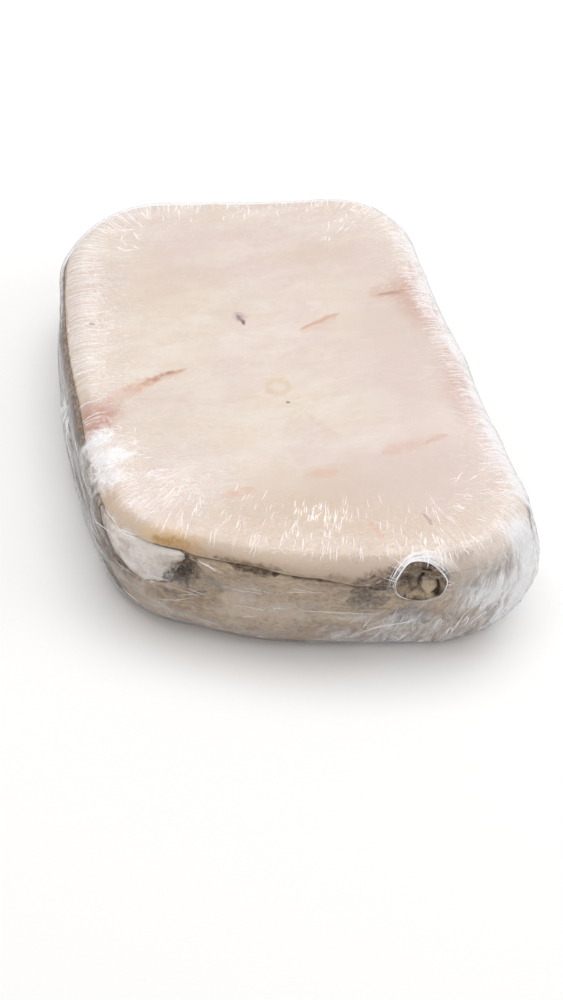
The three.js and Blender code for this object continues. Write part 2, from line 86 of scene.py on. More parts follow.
class Lattice:
    """Seeded smooth noise through space, for the relief in the meshes."""

    def __init__(self, seed: int, size: int = 32) -> None:
        """Draws the lattice.

        Args:
            seed: The seed of the draw.
            size: The number of cells after which the noise repeats.
        """
        self.size = size
        self.values = np.random.default_rng(seed).uniform(-1, 1, (size, size, size))

    def at(self, points: Array, cell: float | Pair | tuple[float, float, float]) -> Array:
        """Reads the noise.

        Args:
            points: Places, with three coordinates in the last axis.
            cell: The size of a cell, for all axes or for each.

        Returns:
            Values from -1 to 1, one for each place.
        """
        places = points / np.asarray(cell, float)
        low = np.floor(places).astype(int)
        part = places - low
        part = part * part * (3 - 2 * part)
        total = np.zeros(points.shape[:-1])
        for corner in np.ndindex(2, 2, 2):
            pick = tuple(np.mod(low[..., axis] + corner[axis], self.size) for axis in range(3))
            weight = np.ones(points.shape[:-1])
            for axis in range(3):
                weight = weight * (part[..., axis] if corner[axis] else 1 - part[..., axis])
            total = total + self.values[pick] * weight
        return total


@dataclass(frozen=True)
class Swell:
    """A wide swell (+) or hollow (-) of the wall, in millimetres."""

    along: float
    reach: float
    up: float
    rise: float
    out: float


@dataclass(frozen=True)
class Corner:
    """A round corner of the plan, and how far the side after it bows out."""

    x: float
    y: float
    radius: float
    bow: float


@dataclass(frozen=True)
class Dip:
    """A shallow trough over the top, between fillets."""

    depth: float
    y: float
    lean: float
    reach: float


@dataclass(frozen=True)
class Ripple:
    """A low wave that runs round the wall and leans as it climbs."""

    size: float
    turns: int
    climb_turns: float
    start: float


@dataclass
class SlabForm:
    """The slab's form in millimetres, by the same rules as the solids."""

    shift: Pair = (0.619, 2.436)
    slab_height: float = 52
    roll_height: float = 10
    roll_width: float = 12
    bottom_roll: float = 6
    film_outside: float = 0.9
    wall_belly: float = 1.2
    crease_gap: float = 0.6
    crease_depth: float = 1.3
    crease_softness: float = 1.5
    crease_middle: float = 42
    seam: float = -400
    corners: tuple[Corner, ...] = (
        Corner(95.4, -161.8, 45, -1.2),
        Corner(89.4, 115.6, 45, -0.5),
        Corner(-82.8, 147.8, 52, 4.4),
        Corner(-94.8, -94.2, 52, 5.4),
    )
    fish_swells: tuple[Swell, ...] = (
        Swell(-85, 80, 6, 36, 3.6),
        Swell(-250, 150, 12, 34, 2.6),
        Swell(-20, 55, 30, 22, -2.4),
    )
    film_swells: tuple[Swell, ...] = (Swell(56, 44, 20, 24, 6.4),)
    ripples: tuple[Ripple, ...] = (Ripple(0.4, 7, 0.8, 0), Ripple(0.3, 13, -1.1, 2))
    crease_heights: tuple[Pair, ...] = (
        (-390, 44), (-230, 46.6), (-152, 46.4), (-138, 44.8), (-127, 46.6), (-104, 46.8),
        (-97, 44.8), (-72, 45.8), (-46, 43.8), (-22, 39.6), (-9, 46), (2, 48.6), (14, 46),
        (60, 43.5), (250, 41),
    )
    crease_openness: tuple[Pair, ...] = (
        (-390, 0.5), (-170, 0.5), (-150, 0.06), (-106, 0.06), (-90, 0.7), (-40, 0.8), (-14, 0.3),
        (14, 0.08), (80, 0.08), (250, 0.4),
    )
    wave_size: float = 0.45
    wave_lengths: Pair = (120, 170)
    slant_size: float = 0.35
    slant_length: float = 258
    dips: tuple[Dip, ...] = (Dip(0.6, 10, 0.28, 26), Dip(0.5, -76, 0.1, 24))
    flat_share: float = 0.35
    ledge: Swell = Swell(-32, 42, 0, 12, 0.7)
    outline: Array = field(init=False)
    reaches: Array = field(init=False)
    ways: Array = field(init=False)
    girth: float = field(init=False)
    middle: Array = field(init=False)

    def __post_init__(self) -> None:
        """Works out the plan's outline and its girth."""
        self.outline = self._outline()
        after = np.roll(self.outline, -1, 0)
        steps = np.linalg.norm(after - self.outline, axis=1)
        self.reaches = np.concatenate([[0], np.cumsum(steps)])
        self.girth = float(self.reaches[-1])
        self.ways = after - np.roll(self.outline, 1, 0)
        self.middle = (self.outline.min(0) + self.outline.max(0)) / 2

    @property
    def roll_rate(self) -> float:
        """The length over the top roll for each radian of its turn."""
        return (self.roll_height + self.roll_width) / 2

    @property
    def roll_length(self) -> float:
        """The length over the whole top roll."""
        return self.roll_rate * math.pi / 2

    def _outline(self) -> Array:
        """Makes the plan's points: arcs at the corners and bowed sides between them.

        Returns:
            The points, in order.
        """
        steps_per_arc, steps_per_side = 40, 80
        places = np.array([[corner.x, corner.y] for corner in self.corners])
        arcs = []
        for index, corner in enumerate(self.corners):
            here = places[index]
            to_last = places[index - 1] - here
            to_next = places[(index + 1) % len(places)] - here
            to_last /= np.linalg.norm(to_last)
            to_next /= np.linalg.norm(to_next)
            half = np.arccos(to_last @ to_next) / 2
            way = (to_last + to_next) / np.linalg.norm(to_last + to_next)
            centre = here + way * corner.radius / np.sin(half)
            reach = corner.radius / np.tan(half)
            first, last = here + to_last * reach - centre, here + to_next * reach - centre
            start = np.arctan2(first[1], first[0])
            turn = (np.arctan2(last[1], last[0]) - start) % (2 * np.pi)
            angles = start + turn * np.linspace(0, 1, steps_per_arc + 1)
            arcs.append(centre + corner.radius * np.c_[np.cos(angles), np.sin(angles)])
        rows = []
        for index, arc in enumerate(arcs):
            start, end = arc[-1], arcs[(index + 1) % len(arcs)][0]
            outward = np.array([end[1] - start[1], start[0] - end[0]])
            outward /= np.linalg.norm(outward)
            share = (np.arange(1, steps_per_side) / steps_per_side)[:, None]
            bow = self.corners[index].bow * 4 * share * (1 - share)
            rows += [arc, start + (end - start) * share + outward * bow]
        return np.concatenate(rows)

    def placed(self, points: Array) -> list[list[float]]:
        """Gives points in metres in the shared frame."""
        return ((points + np.array([*self.shift, 0])) * MM).tolist()

    def plan_at(self, along: Array) -> tuple[Array, Array]:
        """Gives the plan's points and outward directions at lengths along the wall.

        Args:
            along: Places along the wall.

        Returns:
            The points and the directions.
        """
        length = np.mod(along, self.girth)
        count = len(self.outline)
        index = np.searchsorted(self.reaches, length, side="right") - 1
        index = np.clip(index, 0, count - 1)
        share = ((length - self.reaches[index]) / np.diff(self.reaches)[index])[..., None]
        after = (index + 1) % count
        point = self.outline[index] * (1 - share) + self.outline[after] * share
        way = self.ways[index] * (1 - share) + self.ways[after] * share
        way /= np.linalg.norm(way, axis=-1, keepdims=True)
        return point, np.stack([way[..., 1], -way[..., 0]], -1)

    def way_along(self, start: float, end: Array) -> Array:
        """Gives the shorter signed way along the wall from one place to others."""
        return np.mod(end - start + self.girth / 2, self.girth) - self.girth / 2

    def eased(self, stations: tuple[Pair, ...], along: Array) -> Array:
        """Reads a value that eases from each station along the wall to the next.

        Args:
            stations: Places along the wall with their values.
            along: Places along the wall.

        Returns:
            A value for each place.
        """
        first = stations[0][0]
        place = first + np.mod(along - first, self.girth)
        places = np.array([station[0] for station in stations] + [first + self.girth])
        values = np.array([station[1] for station in stations] + [stations[0][1]])
        index = np.searchsorted(places, place, side="right") - 1
        index = np.clip(index, 0, len(stations) - 1)
        share = np.clip((place - places[index]) / np.diff(places)[index], 0, 1)
        share = share * share * (3 - 2 * share)
        return values[index] * (1 - share) + values[index + 1] * share

    def swell_of(self, swells: tuple[Swell, ...], along: Array, up: Array) -> Array:
        """Sums wide swells at places on the wall.

        Args:
            swells: The swells.
            along: Places along the wall.
            up: Heights on the wall.

        Returns:
            How far the wall stands out, in millimetres.
        """
        total = np.zeros(np.broadcast(along, up).shape)
        for swell in swells:
            across = soft_spot(self.way_along(swell.along, along) / swell.reach)
            total = total + swell.out * across * soft_spot((up - swell.up) / swell.rise)
        return total

    def fish_swell(self, along: Array, up: Array) -> Array:
        """Gives how far the fish swells out of the plan.

        Args:
            along: Places along the wall.
            up: Heights on the wall.

        Returns:
            The distances.
        """
        turn = 2 * np.pi * along / self.girth
        climb = np.clip(up / self.slab_height, 0, 1)
        total = self.wall_belly * np.sin(np.pi * climb)
        for ripple in self.ripples:
            lean = 2 * np.pi * ripple.climb_turns * climb
            total = total + ripple.size * np.sin(ripple.turns * turn + lean + ripple.start)
        return total + self.swell_of(self.fish_swells, along, up)

    def top_height(self, x: Array, y: Array) -> Array:
        """Gives the height of the fish's top at places in the plan.

        Args:
            x: Places across the slab.
            y: Places along the slab.

        Returns:
            The heights.
        """
        turn = 2 * np.pi
        across, deep = self.wave_lengths
        waves = self.wave_size * np.sin(turn * x / across + 1) * np.sin(turn * y / deep)
        slant = self.slant_size * np.sin(turn * (x + 2 * y) / self.slant_length)
        height = self.slab_height - self.film_outside + waves + slant
        for dip in self.dips:
            height = height - dip.depth * soft_spot((y - dip.y - dip.lean * x) / dip.reach)
        return height

    def roll_start(self, along: Array) -> Array:
        """Gives the height where the top roll begins on the wall."""
        point, _ = self.plan_at(along)
        return self.top_height(point[..., 0], point[..., 1]) - self.roll_height

    def wall_point(self, along: Array, up: Array, offset: Array, swell: Array) -> Array:
        """Gives points on the wall or a roll.

        Args:
            along: Lengths along the wall.
            up: Heights on the bare fish's wall, going on over its top roll.
            offset: How far out of that surface the points lie.
            swell: How far the wall swells out of the plan there.

        Returns:
            Points with three coordinates in the last axis.
        """
        along, up = np.broadcast_arrays(np.asarray(along, float), np.asarray(up, float))
        point, outward = self.plan_at(along)
        foot, head = self.film_outside, self.roll_start(along)
        low, high = up < foot + self.bottom_roll, up > head
        low_up = -np.clip((foot + self.bottom_roll - up) / self.bottom_roll, 0, 1)
        low_out = np.sqrt(1 - low_up**2)
        angle = np.clip((up - head) / self.roll_rate, 0, np.pi / 2)
        up_share = np.where(low, low_up, np.where(high, np.sin(angle), 0))
        out_share = np.where(low, low_out, np.where(high, np.cos(angle), 1))
        inset = np.where(low, self.bottom_roll, self.roll_width) * (1 - out_share)
        height = np.where(high, head + self.roll_height * up_share, up)
        out = swell * np.maximum(out_share, self.flat_share) - inset + offset * out_share
        plan = point + outward * out[..., None]
        return np.concatenate([plan, (height + offset * up_share)[..., None]], -1)

    def fish_point(self, along: Array, up: Array, offset: Array = 0.0) -> Array:
        """Gives points of the bare fish's wall, or at offsets out of it."""
        return self.wall_point(along, up, offset, self.fish_swell(along, up))

    def film_point(self, along: Array, up: Array, offset: Array) -> Array:
        """Gives points of the film at offsets out of the fish, with its loose folds."""
        swell = self.fish_swell(along, up) + self.swell_of(self.film_swells, along, up)
        return self.wall_point(along, up, offset, swell)

    def rim_point(self, along: Array, inward: Array, offset: Array) -> Array:
        """Gives points of the film at lengths in from where the top roll starts.

        Args:
            along: Places along the wall.
            inward: The lengths.
            offset: How far off the fish.

        Returns:
            The points.
        """
        up = self.roll_start(along) + np.minimum(inward, self.roll_length)
        edge = self.film_point(along, up, offset)
        beyond = np.maximum(inward - self.roll_length, 0)
        plan = edge[..., :2] - self.plan_at(along)[1] * beyond[..., None]
        flat = self.top_height(plan[..., 0], plan[..., 1]) + offset
        height = np.where(beyond > 0, flat, edge[..., 2])
        return np.concatenate([plan, height[..., None]], -1)

    def crease_up(self, along: Array) -> Array:
        """Gives the height of the crease between the two layers."""
        return self.eased(self.crease_heights, along)

    def crease_shape(self, along: Array, rise: Array) -> tuple[Array, Array]:
        """Gives half the crease's gap, and how far an edge is drawn in at heights off it.

        Args:
            along: Places along the wall.
            rise: Heights off the crease.

        Returns:
            Half the gap and the depth drawn in.
        """
        openness = self.eased(self.crease_openness, along)
        drawn = self.crease_depth * openness * np.exp(-rise / self.crease_softness)
        return self.crease_gap / 2 * (0.2 + 0.8 * openness), drawn

    def columns(self, coarse: float, fine: float, stretches: tuple[Pair, ...]) -> Array:
        """Lays out places along the wall, closer together in some stretches.

        Args:
            coarse: The step outside the stretches.
            fine: The step in the stretches.
            stretches: The starts and ends of the fine stretches.

        Returns:
            The places, once round the wall.
        """
        places = []
        place = self.seam
        end = place + self.girth - coarse / 2
        while place < end:
            places.append(place)
            ways = [(self.way_along(low, place), high - low) for low, high in stretches]
            place += fine if any(0 <= way < length for way, length in ways) else coarse
        return np.array(places)


@dataclass
class Skin:
    """Rings of points round the slab, with their places along and up the wall."""

    points: list[Array] = field(default_factory=list)
    along: list[Array] = field(default_factory=list)
    up: list[Array] = field(default_factory=list)

    def add(self, points: Array, along: Array, up: Array) -> None:
        """Adds a ring of points with its places on the wall.

        Args:
            points: The ring's points.
            along: Their places along the wall.
            up: Their heights on the wall.
        """
        self.points.append(points)
        self.along.append(np.broadcast_to(along, points.shape[:1]).copy())
        self.up.append(np.broadcast_to(up, points.shape[:1]).copy())

    def shrunk(self, source: int, share: float, middle: Array) -> Array:
        """Gives a ring's plan points drawn in towards the plan's middle."""
        return middle + (self.points[source][:, :2] - middle) * share


def grid_faces(rings: int, count: int) -> Array:
    """Lists the quads between closed rings of equal length.

    Args:
        rings: The number of rings.
        count: The number of points in a ring.

    Returns:
        The faces, as rows of four points.
    """
    ring, column = np.meshgrid(np.arange(rings - 1), np.arange(count), indexing="ij")
    after = (column + 1) % count
    low, high = ring * count, (ring + 1) * count
    corners = [low + column, low + after, high + after, high + column]
    return np.stack(corners, -1).reshape(-1, 4)


def pole_faces(pole: int, start: int, count: int, outward: bool) -> list[tuple[int, ...]]:
    """Lists the triangles between a pole and a ring.

    Args:
        pole: The pole's point.
        start: The ring's first point.
        count: The number of points in the ring.
        outward: Which way the faces turn.

    Returns:
        The faces.
    """
    column = np.arange(count)
    here, after = start + column, start + (column + 1) % count
    first, second = (here, after) if outward else (after, here)
    return [(pole, int(a), int(b)) for a, b in zip(first, second)]


def linked(name: str, data: bpy.types.ID) -> bpy.types.Object:
    """Makes an object of some data and links it to the scene.

    Args:
        name: The object's name.
        data: What it shows.

    Returns:
        The object.
    """
    made = bpy.data.objects.new(name, data)
    bpy.context.scene.collection.objects.link(made)
    return made


@dataclass
class MeshMaker:
    """Makes mesh objects in metres from places in millimetres."""

    form: SlabForm

    def build(
        self,
        name: str,
        points: Array,
        faces: list[tuple[int, ...]],
        wall: Array | None = None,
    ) -> bpy.types.Object:
        """Makes a smooth mesh object.

        Args:
            name: The object's name.
            points: The points in millimetres.
            faces: The faces as indices of points.
            wall: The places along and up the wall for the UV map, if it has one.

        Returns:
            The object, linked to the scene.
        """
        mesh = bpy.data.meshes.new(name)
        mesh.from_pydata(self.form.placed(points), [], faces)
        mesh.polygons.foreach_set("use_smooth", np.ones(len(mesh.polygons), bool))
        if wall is not None:
            self._unwrap(mesh, wall)
        mesh.update()
        return linked(name, mesh)

    def _unwrap(self, mesh: bpy.types.Mesh, wall: Array) -> None:
        """Gives a mesh a UV map of its places on the wall, in metres.

        Args:
            mesh: The mesh.
            wall: The places along and up, for each point.
        """
        corners = np.zeros(len(mesh.loops), int)
        mesh.loops.foreach_get("vertex_index", corners)
        sizes = np.zeros(len(mesh.polygons), int)
        mesh.polygons.foreach_get("loop_total", sizes)
        face = np.repeat(np.arange(len(sizes)), sizes)
        places = wall[corners].astype(float)
        highest = np.full(len(sizes), -np.inf)
        np.maximum.at(highest, face, places[:, 0])
        behind = highest[face] - places[:, 0] > self.form.girth / 2
        places[behind, 0] += self.form.girth
        layer = mesh.uv_layers.new(name="wall")
        layer.data.foreach_set("uv", (places * MM).astype(np.float32).ravel())


def points_of(piece: bpy.types.Object) -> Array:
    """Reads a mesh's points in metres.

    Args:
        piece: The mesh.

    Returns:
        The points.
    """
    flat = np.zeros(len(piece.data.vertices) * 3)
    piece.data.vertices.foreach_get("co", flat)
    return flat.reshape(-1, 3)


def normals_of(piece: bpy.types.Object) -> Array:
    """Reads a mesh's normals at its points.

    Args:
        piece: The mesh.

    Returns:
        The normals.
    """
    flat = np.zeros(len(piece.data.vertices) * 3)
    piece.data.vertex_normals.foreach_get("vector", flat)
    return flat.reshape(-1, 3)


def push_out(piece: bpy.types.Object, distance: Array) -> None:
    """Moves a mesh's points along their normals by millimetres.

    Args:
        piece: The mesh.
        distance: How far each point moves.
    """
    moved = points_of(piece) + normals_of(piece) * (distance * MM)[:, None]
    piece.data.vertices.foreach_set("co", moved.ravel())
    piece.data.update()


def give_values(piece: bpy.types.Object, name: str, values: Array) -> None:
    """Gives a mesh's points a named number or direction each.

    Args:
        piece: The mesh.
        name: The name that a material reads.
        values: The numbers or directions.
    """
    kind, key = ("FLOAT", "value") if values.ndim == 1 else ("FLOAT_VECTOR", "vector")
    attribute = piece.data.attributes.new(name, kind, "POINT")
    attribute.data.foreach_set(key, values.astype(np.float32).ravel())


class Sock:
    """A node's output that does maths: an expression on it adds Math nodes."""

    def __init__(self, tree: "Tree", socket: bpy.types.NodeSocket) -> None:
        """Wraps an output socket of a tree."""
        self.tree = tree
        self.socket = socket

    def out(self, name: str) -> "Sock":
        """Gives another output of the same node."""
        return Sock(self.tree, self.socket.node.outputs[name])

    def _math(self, operation: str, *values: object) -> "Sock":
        """Adds a Math node."""
        inputs = dict(enumerate(values))
        return self.tree.node("ShaderNodeMath", {"operation": operation}, inputs)

    def __add__(self, other: object) -> "Sock":
        """Adds."""
        return self._math("ADD", self, other)

    __radd__ = __add__

    def __sub__(self, other: object) -> "Sock":
        """Subtracts."""
        return self._math("SUBTRACT", self, other)

    def __rsub__(self, other: object) -> "Sock":
        """Subtracts this from another value."""
        return self._math("SUBTRACT", other, self)

    def __mul__(self, other: object) -> "Sock":
        """Multiplies."""
        return self._math("MULTIPLY", self, other)

    __rmul__ = __mul__

    def __truediv__(self, other: object) -> "Sock":
        """Divides."""
        return self._math("DIVIDE", self, other)

    def __abs__(self) -> "Sock":
        """Drops the sign."""
        return self._math("ABSOLUTE", self)

    def scaled(self, factor: object, added: object) -> "Sock":
        """Multiplies by a factor and adds a value in one node."""
        return self._math("MULTIPLY_ADD", self, factor, added)

    def power(self, exponent: float) -> "Sock":
        """Raises to a power."""
        return self._math("POWER", self, exponent)

    def least(self, other: object) -> "Sock":
        """Takes the smaller of two values."""
        return self._math("MINIMUM", self, other)

    def most(self, other: object) -> "Sock":
        """Takes the larger of two values."""
        return self._math("MAXIMUM", self, other)

    def climb(self, low: float, high: float, first: float = 0.0, last: float = 1.0) -> "Sock":
        """Climbs smoothly from the first value at low to the last at high.

        Args:
            low: Where the climb starts.
            high: Where it ends.
            first: The value at low.
            last: The value at high.

        Returns:
            The value.
        """
        settings = {"interpolation_type": "SMOOTHSTEP"}
        inputs = {0: self, 1: low, 2: high, 3: first, 4: last}
        return self.tree.node("ShaderNodeMapRange", settings, inputs)


class Tree:
    """A node tree written in Python: one method makes any node."""

    def __init__(self, tree: bpy.types.NodeTree) -> None:
        """Wraps a node tree."""
        self.tree = tree

    def node(
        self,
        kind: str,
        settings: dict[str, object] | None = None,
        inputs: dict[int | str, object] | None = None,
        output: int | str = 0,
    ) -> Sock:
        """Makes a node.

        Args:
            kind: The node's type.
            settings: The node's own properties, set first.
            inputs: Values or links for its sockets, by name or place.
            output: The output to give back.

        Returns:
            The wrapped output.
        """
        made = self.tree.nodes.new(kind)
        for name, value in (settings or {}).items():
            setattr(made, name, value)
        for name, value in (inputs or {}).items():
            if isinstance(value, Sock):
                self.tree.links.new(value.socket, made.inputs[name])
            else:
                made.inputs[name].default_value = value
        return Sock(self, made.outputs[output]) if made.outputs else Sock(self, None)

    def vector(self, operation: str, *values: object) -> Sock:
        """Adds a Vector Math node, and gives its number where the operation has one.

        Args:
            operation: The node's operation.
            values: One or two values or links.

        Returns:
            The wrapped output.
        """
        numbers = {"LENGTH", "DOT_PRODUCT", "DISTANCE"}
        places = {0: values[0]}
        if len(values) > 1:
            places[3 if operation == "SCALE" else 1] = values[1]
        output = "Value" if operation in numbers else "Vector"
        return self.node("ShaderNodeVectorMath", {"operation": operation}, places, output)

    def blend(self, share: object, first: object, second: object) -> Sock:
        """Mixes two colours by a share."""
        settings = {"data_type": "RGBA", "clamp_factor": True}
        return self.node("ShaderNodeMix", settings, {0: share, 6: first, 7: second}, 2)


class Finish(Tree):
    """A material's node tree, with the patterns that the finishes share."""

    ragged: float = 1.1

    def __init__(self, name: str) -> None:
        """Starts a material with a bare node tree.

        Args:
            name: The material's name.
        """
        self.material = bpy.data.materials.new(name)
        self.material.use_nodes = True
        super().__init__(self.material.node_tree)
        self.tree.nodes.clear()

    def place(self) -> Sock:
        """Gives the place in millimetres of the shared frame."""
        return self.vector("SCALE", self.node("ShaderNodeTexCoord", output="Object"), 1 / MM)

    def plan(self, shift: Pair) -> Sock:
        """Gives the place in the slab's own millimetres."""
        return self.vector("SUBTRACT", self.place(), (*shift, 0.0))

    def wall(self) -> Sock:
        """Gives the place along and up the wall in millimetres, from the UV map."""
        place = self.node("ShaderNodeUVMap", {"uv_map": "wall"})
        return self.vector("SCALE", place, 1 / MM)

    def value(self, name: str) -> Sock:
        """Reads a number that the mesh's points carry."""
        return self.node("ShaderNodeAttribute", {"attribute_name": name}, output="Fac")

    def part(self, place: Sock, axis: int) -> Sock:
        """Gives one of a place's three coordinates."""
        return self.node("ShaderNodeSeparateXYZ", {}, {0: place}, axis)

    def stretched(self, place: Sock, sizes: tuple[float, float, float]) -> Sock:
        """Divides a place by a size for each axis."""
        return self.vector("DIVIDE", place, sizes)

    def noise(self, place: Sock, size: float, detail: float = 2.0, rough: float = 0.5) -> Sock:
        """Adds a noise from 0 to 1 with patches of a size."""
        inputs = {"Vector": place, "Scale": 1 / size, "Detail": detail, "Roughness": rough}
        return self.node("ShaderNodeTexNoise", {}, inputs)

    def warped(self, place: Sock, size: float, push: float) -> Sock:
        """Pushes a place about by a noise, so that marks on it have uneven edges.

        Args:
            place: The place.
            size: The noise's size.
            push: How far it pushes.

        Returns:
            The new place.
        """
        drift = self.noise(place, size, 3.0).out("Color")
        centred = self.vector("SUBTRACT", drift, (0.5, 0.5, 0.5))
        return self.vector("ADD", place, self.vector("SCALE", centred, push * 2))

    def turned(self, place: Sock, angle: float) -> Sock:
        """Turns a place about the third axis by degrees."""
        inputs = {"Vector": place, "Angle": math.radians(angle)}
        return self.node("ShaderNodeVectorRotate", {"rotation_type": "Z_AXIS"}, inputs)

    def near_line(self, place: Sock, start: Pair, end: Pair) -> tuple[Sock, Sock]:
        """Measures to a line.

        Args:
            place: The place, with nothing in its third coordinate.
            start: The line's start.
            end: The line's end.

        Returns:
            The distance to the line, and the share of the way along it.
        """
        way = (end[0] - start[0], end[1] - start[1], 0.0)
        square = max(way[0] ** 2 + way[1] ** 2, 1e-6)
        here = self.vector("SUBTRACT", place, (*start, 0.0))
        share = self.vector("DOT_PRODUCT", here, (way[0] / square, way[1] / square, 0.0))
        share = self.node("ShaderNodeClamp", {}, {0: share})
        return self.vector("DISTANCE", here, self.vector("SCALE", way, share)), share

    def spot(self, place: Sock, centre: Pair, radii: Pair) -> Sock:
        """Gives a soft oval mask.

        Args:
            place: The place.
            centre: The oval's middle.
            radii: Its radii.

        Returns:
            The mask, 1 in the middle.
        """
        off = self.vector("SUBTRACT", place, (*centre, 0.0))
        off = self.vector("MULTIPLY", off, (1 / radii[0], 1 / radii[1], 0.0))
        return 1.0 - self.vector("LENGTH", off).climb(0.25, 1.0)

    def marked(self, colour: Sock, place: Sock, marks: "tuple[Mark, ...]") -> Sock:
        """Lays marks over a colour, one after another.

        Args:
            colour: The colour under the marks.
            place: The place that the marks are measured in, in millimetres.
            marks: The marks.

        Returns:
            The marked colour.
        """
        flat = self.vector("MULTIPLY", place, (1.0, 1.0, 0.0))
        speckle = self.noise(place, 2.4, 4.0, 0.7)
        ragged = speckle.scaled(self.ragged, -self.ragged / 2)
        blotch = speckle.climb(0.62, 0.38, 0.6, 1.05)
        for mark in marks:
            distance, share = self.near_line(flat, mark.start, mark.end)
            if mark.taper:
                middle = share.scaled(2.0, -1.0).power(4.0).scaled(-mark.taper, 1.0)
                distance = distance / middle.most(0.05)
            reach = ragged.scaled(mark.width, distance)
            mask = reach.climb(mark.width * mark.core, mark.width, mark.strength, 0.0)
            colour = self.blend(mask * blotch, colour, mark.colour)
        return colour

    def bump(self, height: Sock, strength: float, distance: float) -> Sock:
        """Adds a Bump node, with its height in millimetres."""
        inputs = {"Strength": strength, "Distance": distance * MM, "Height": height}
        return self.node("ShaderNodeBump", {}, inputs)

    def see_through(self, cover: Sock, shader: Sock) -> Sock:
        """Lets what is behind show where the cover falls short of 1."""
        gap = self.node("ShaderNodeBsdfTransparent")
        return self.node("ShaderNodeMixShader", {}, {0: cover, 1: gap, 2: shader})

    def finished(self, shader: Sock) -> bpy.types.Material:
        """Ends the tree in a shader and gives the material."""
        self.node("ShaderNodeOutputMaterial", {}, {"Surface": shader})
        return self.material


@dataclass(frozen=True)
class Mark:
    """A mark along a short line, in millimetres of the plan or of the wall: a stain, painted shade or
    a painted highlight.
    """

    start: Pair
    end: Pair
    width: float
    colour: Colour
    strength: float
    core: float = 0.15
    taper: float = 0.85


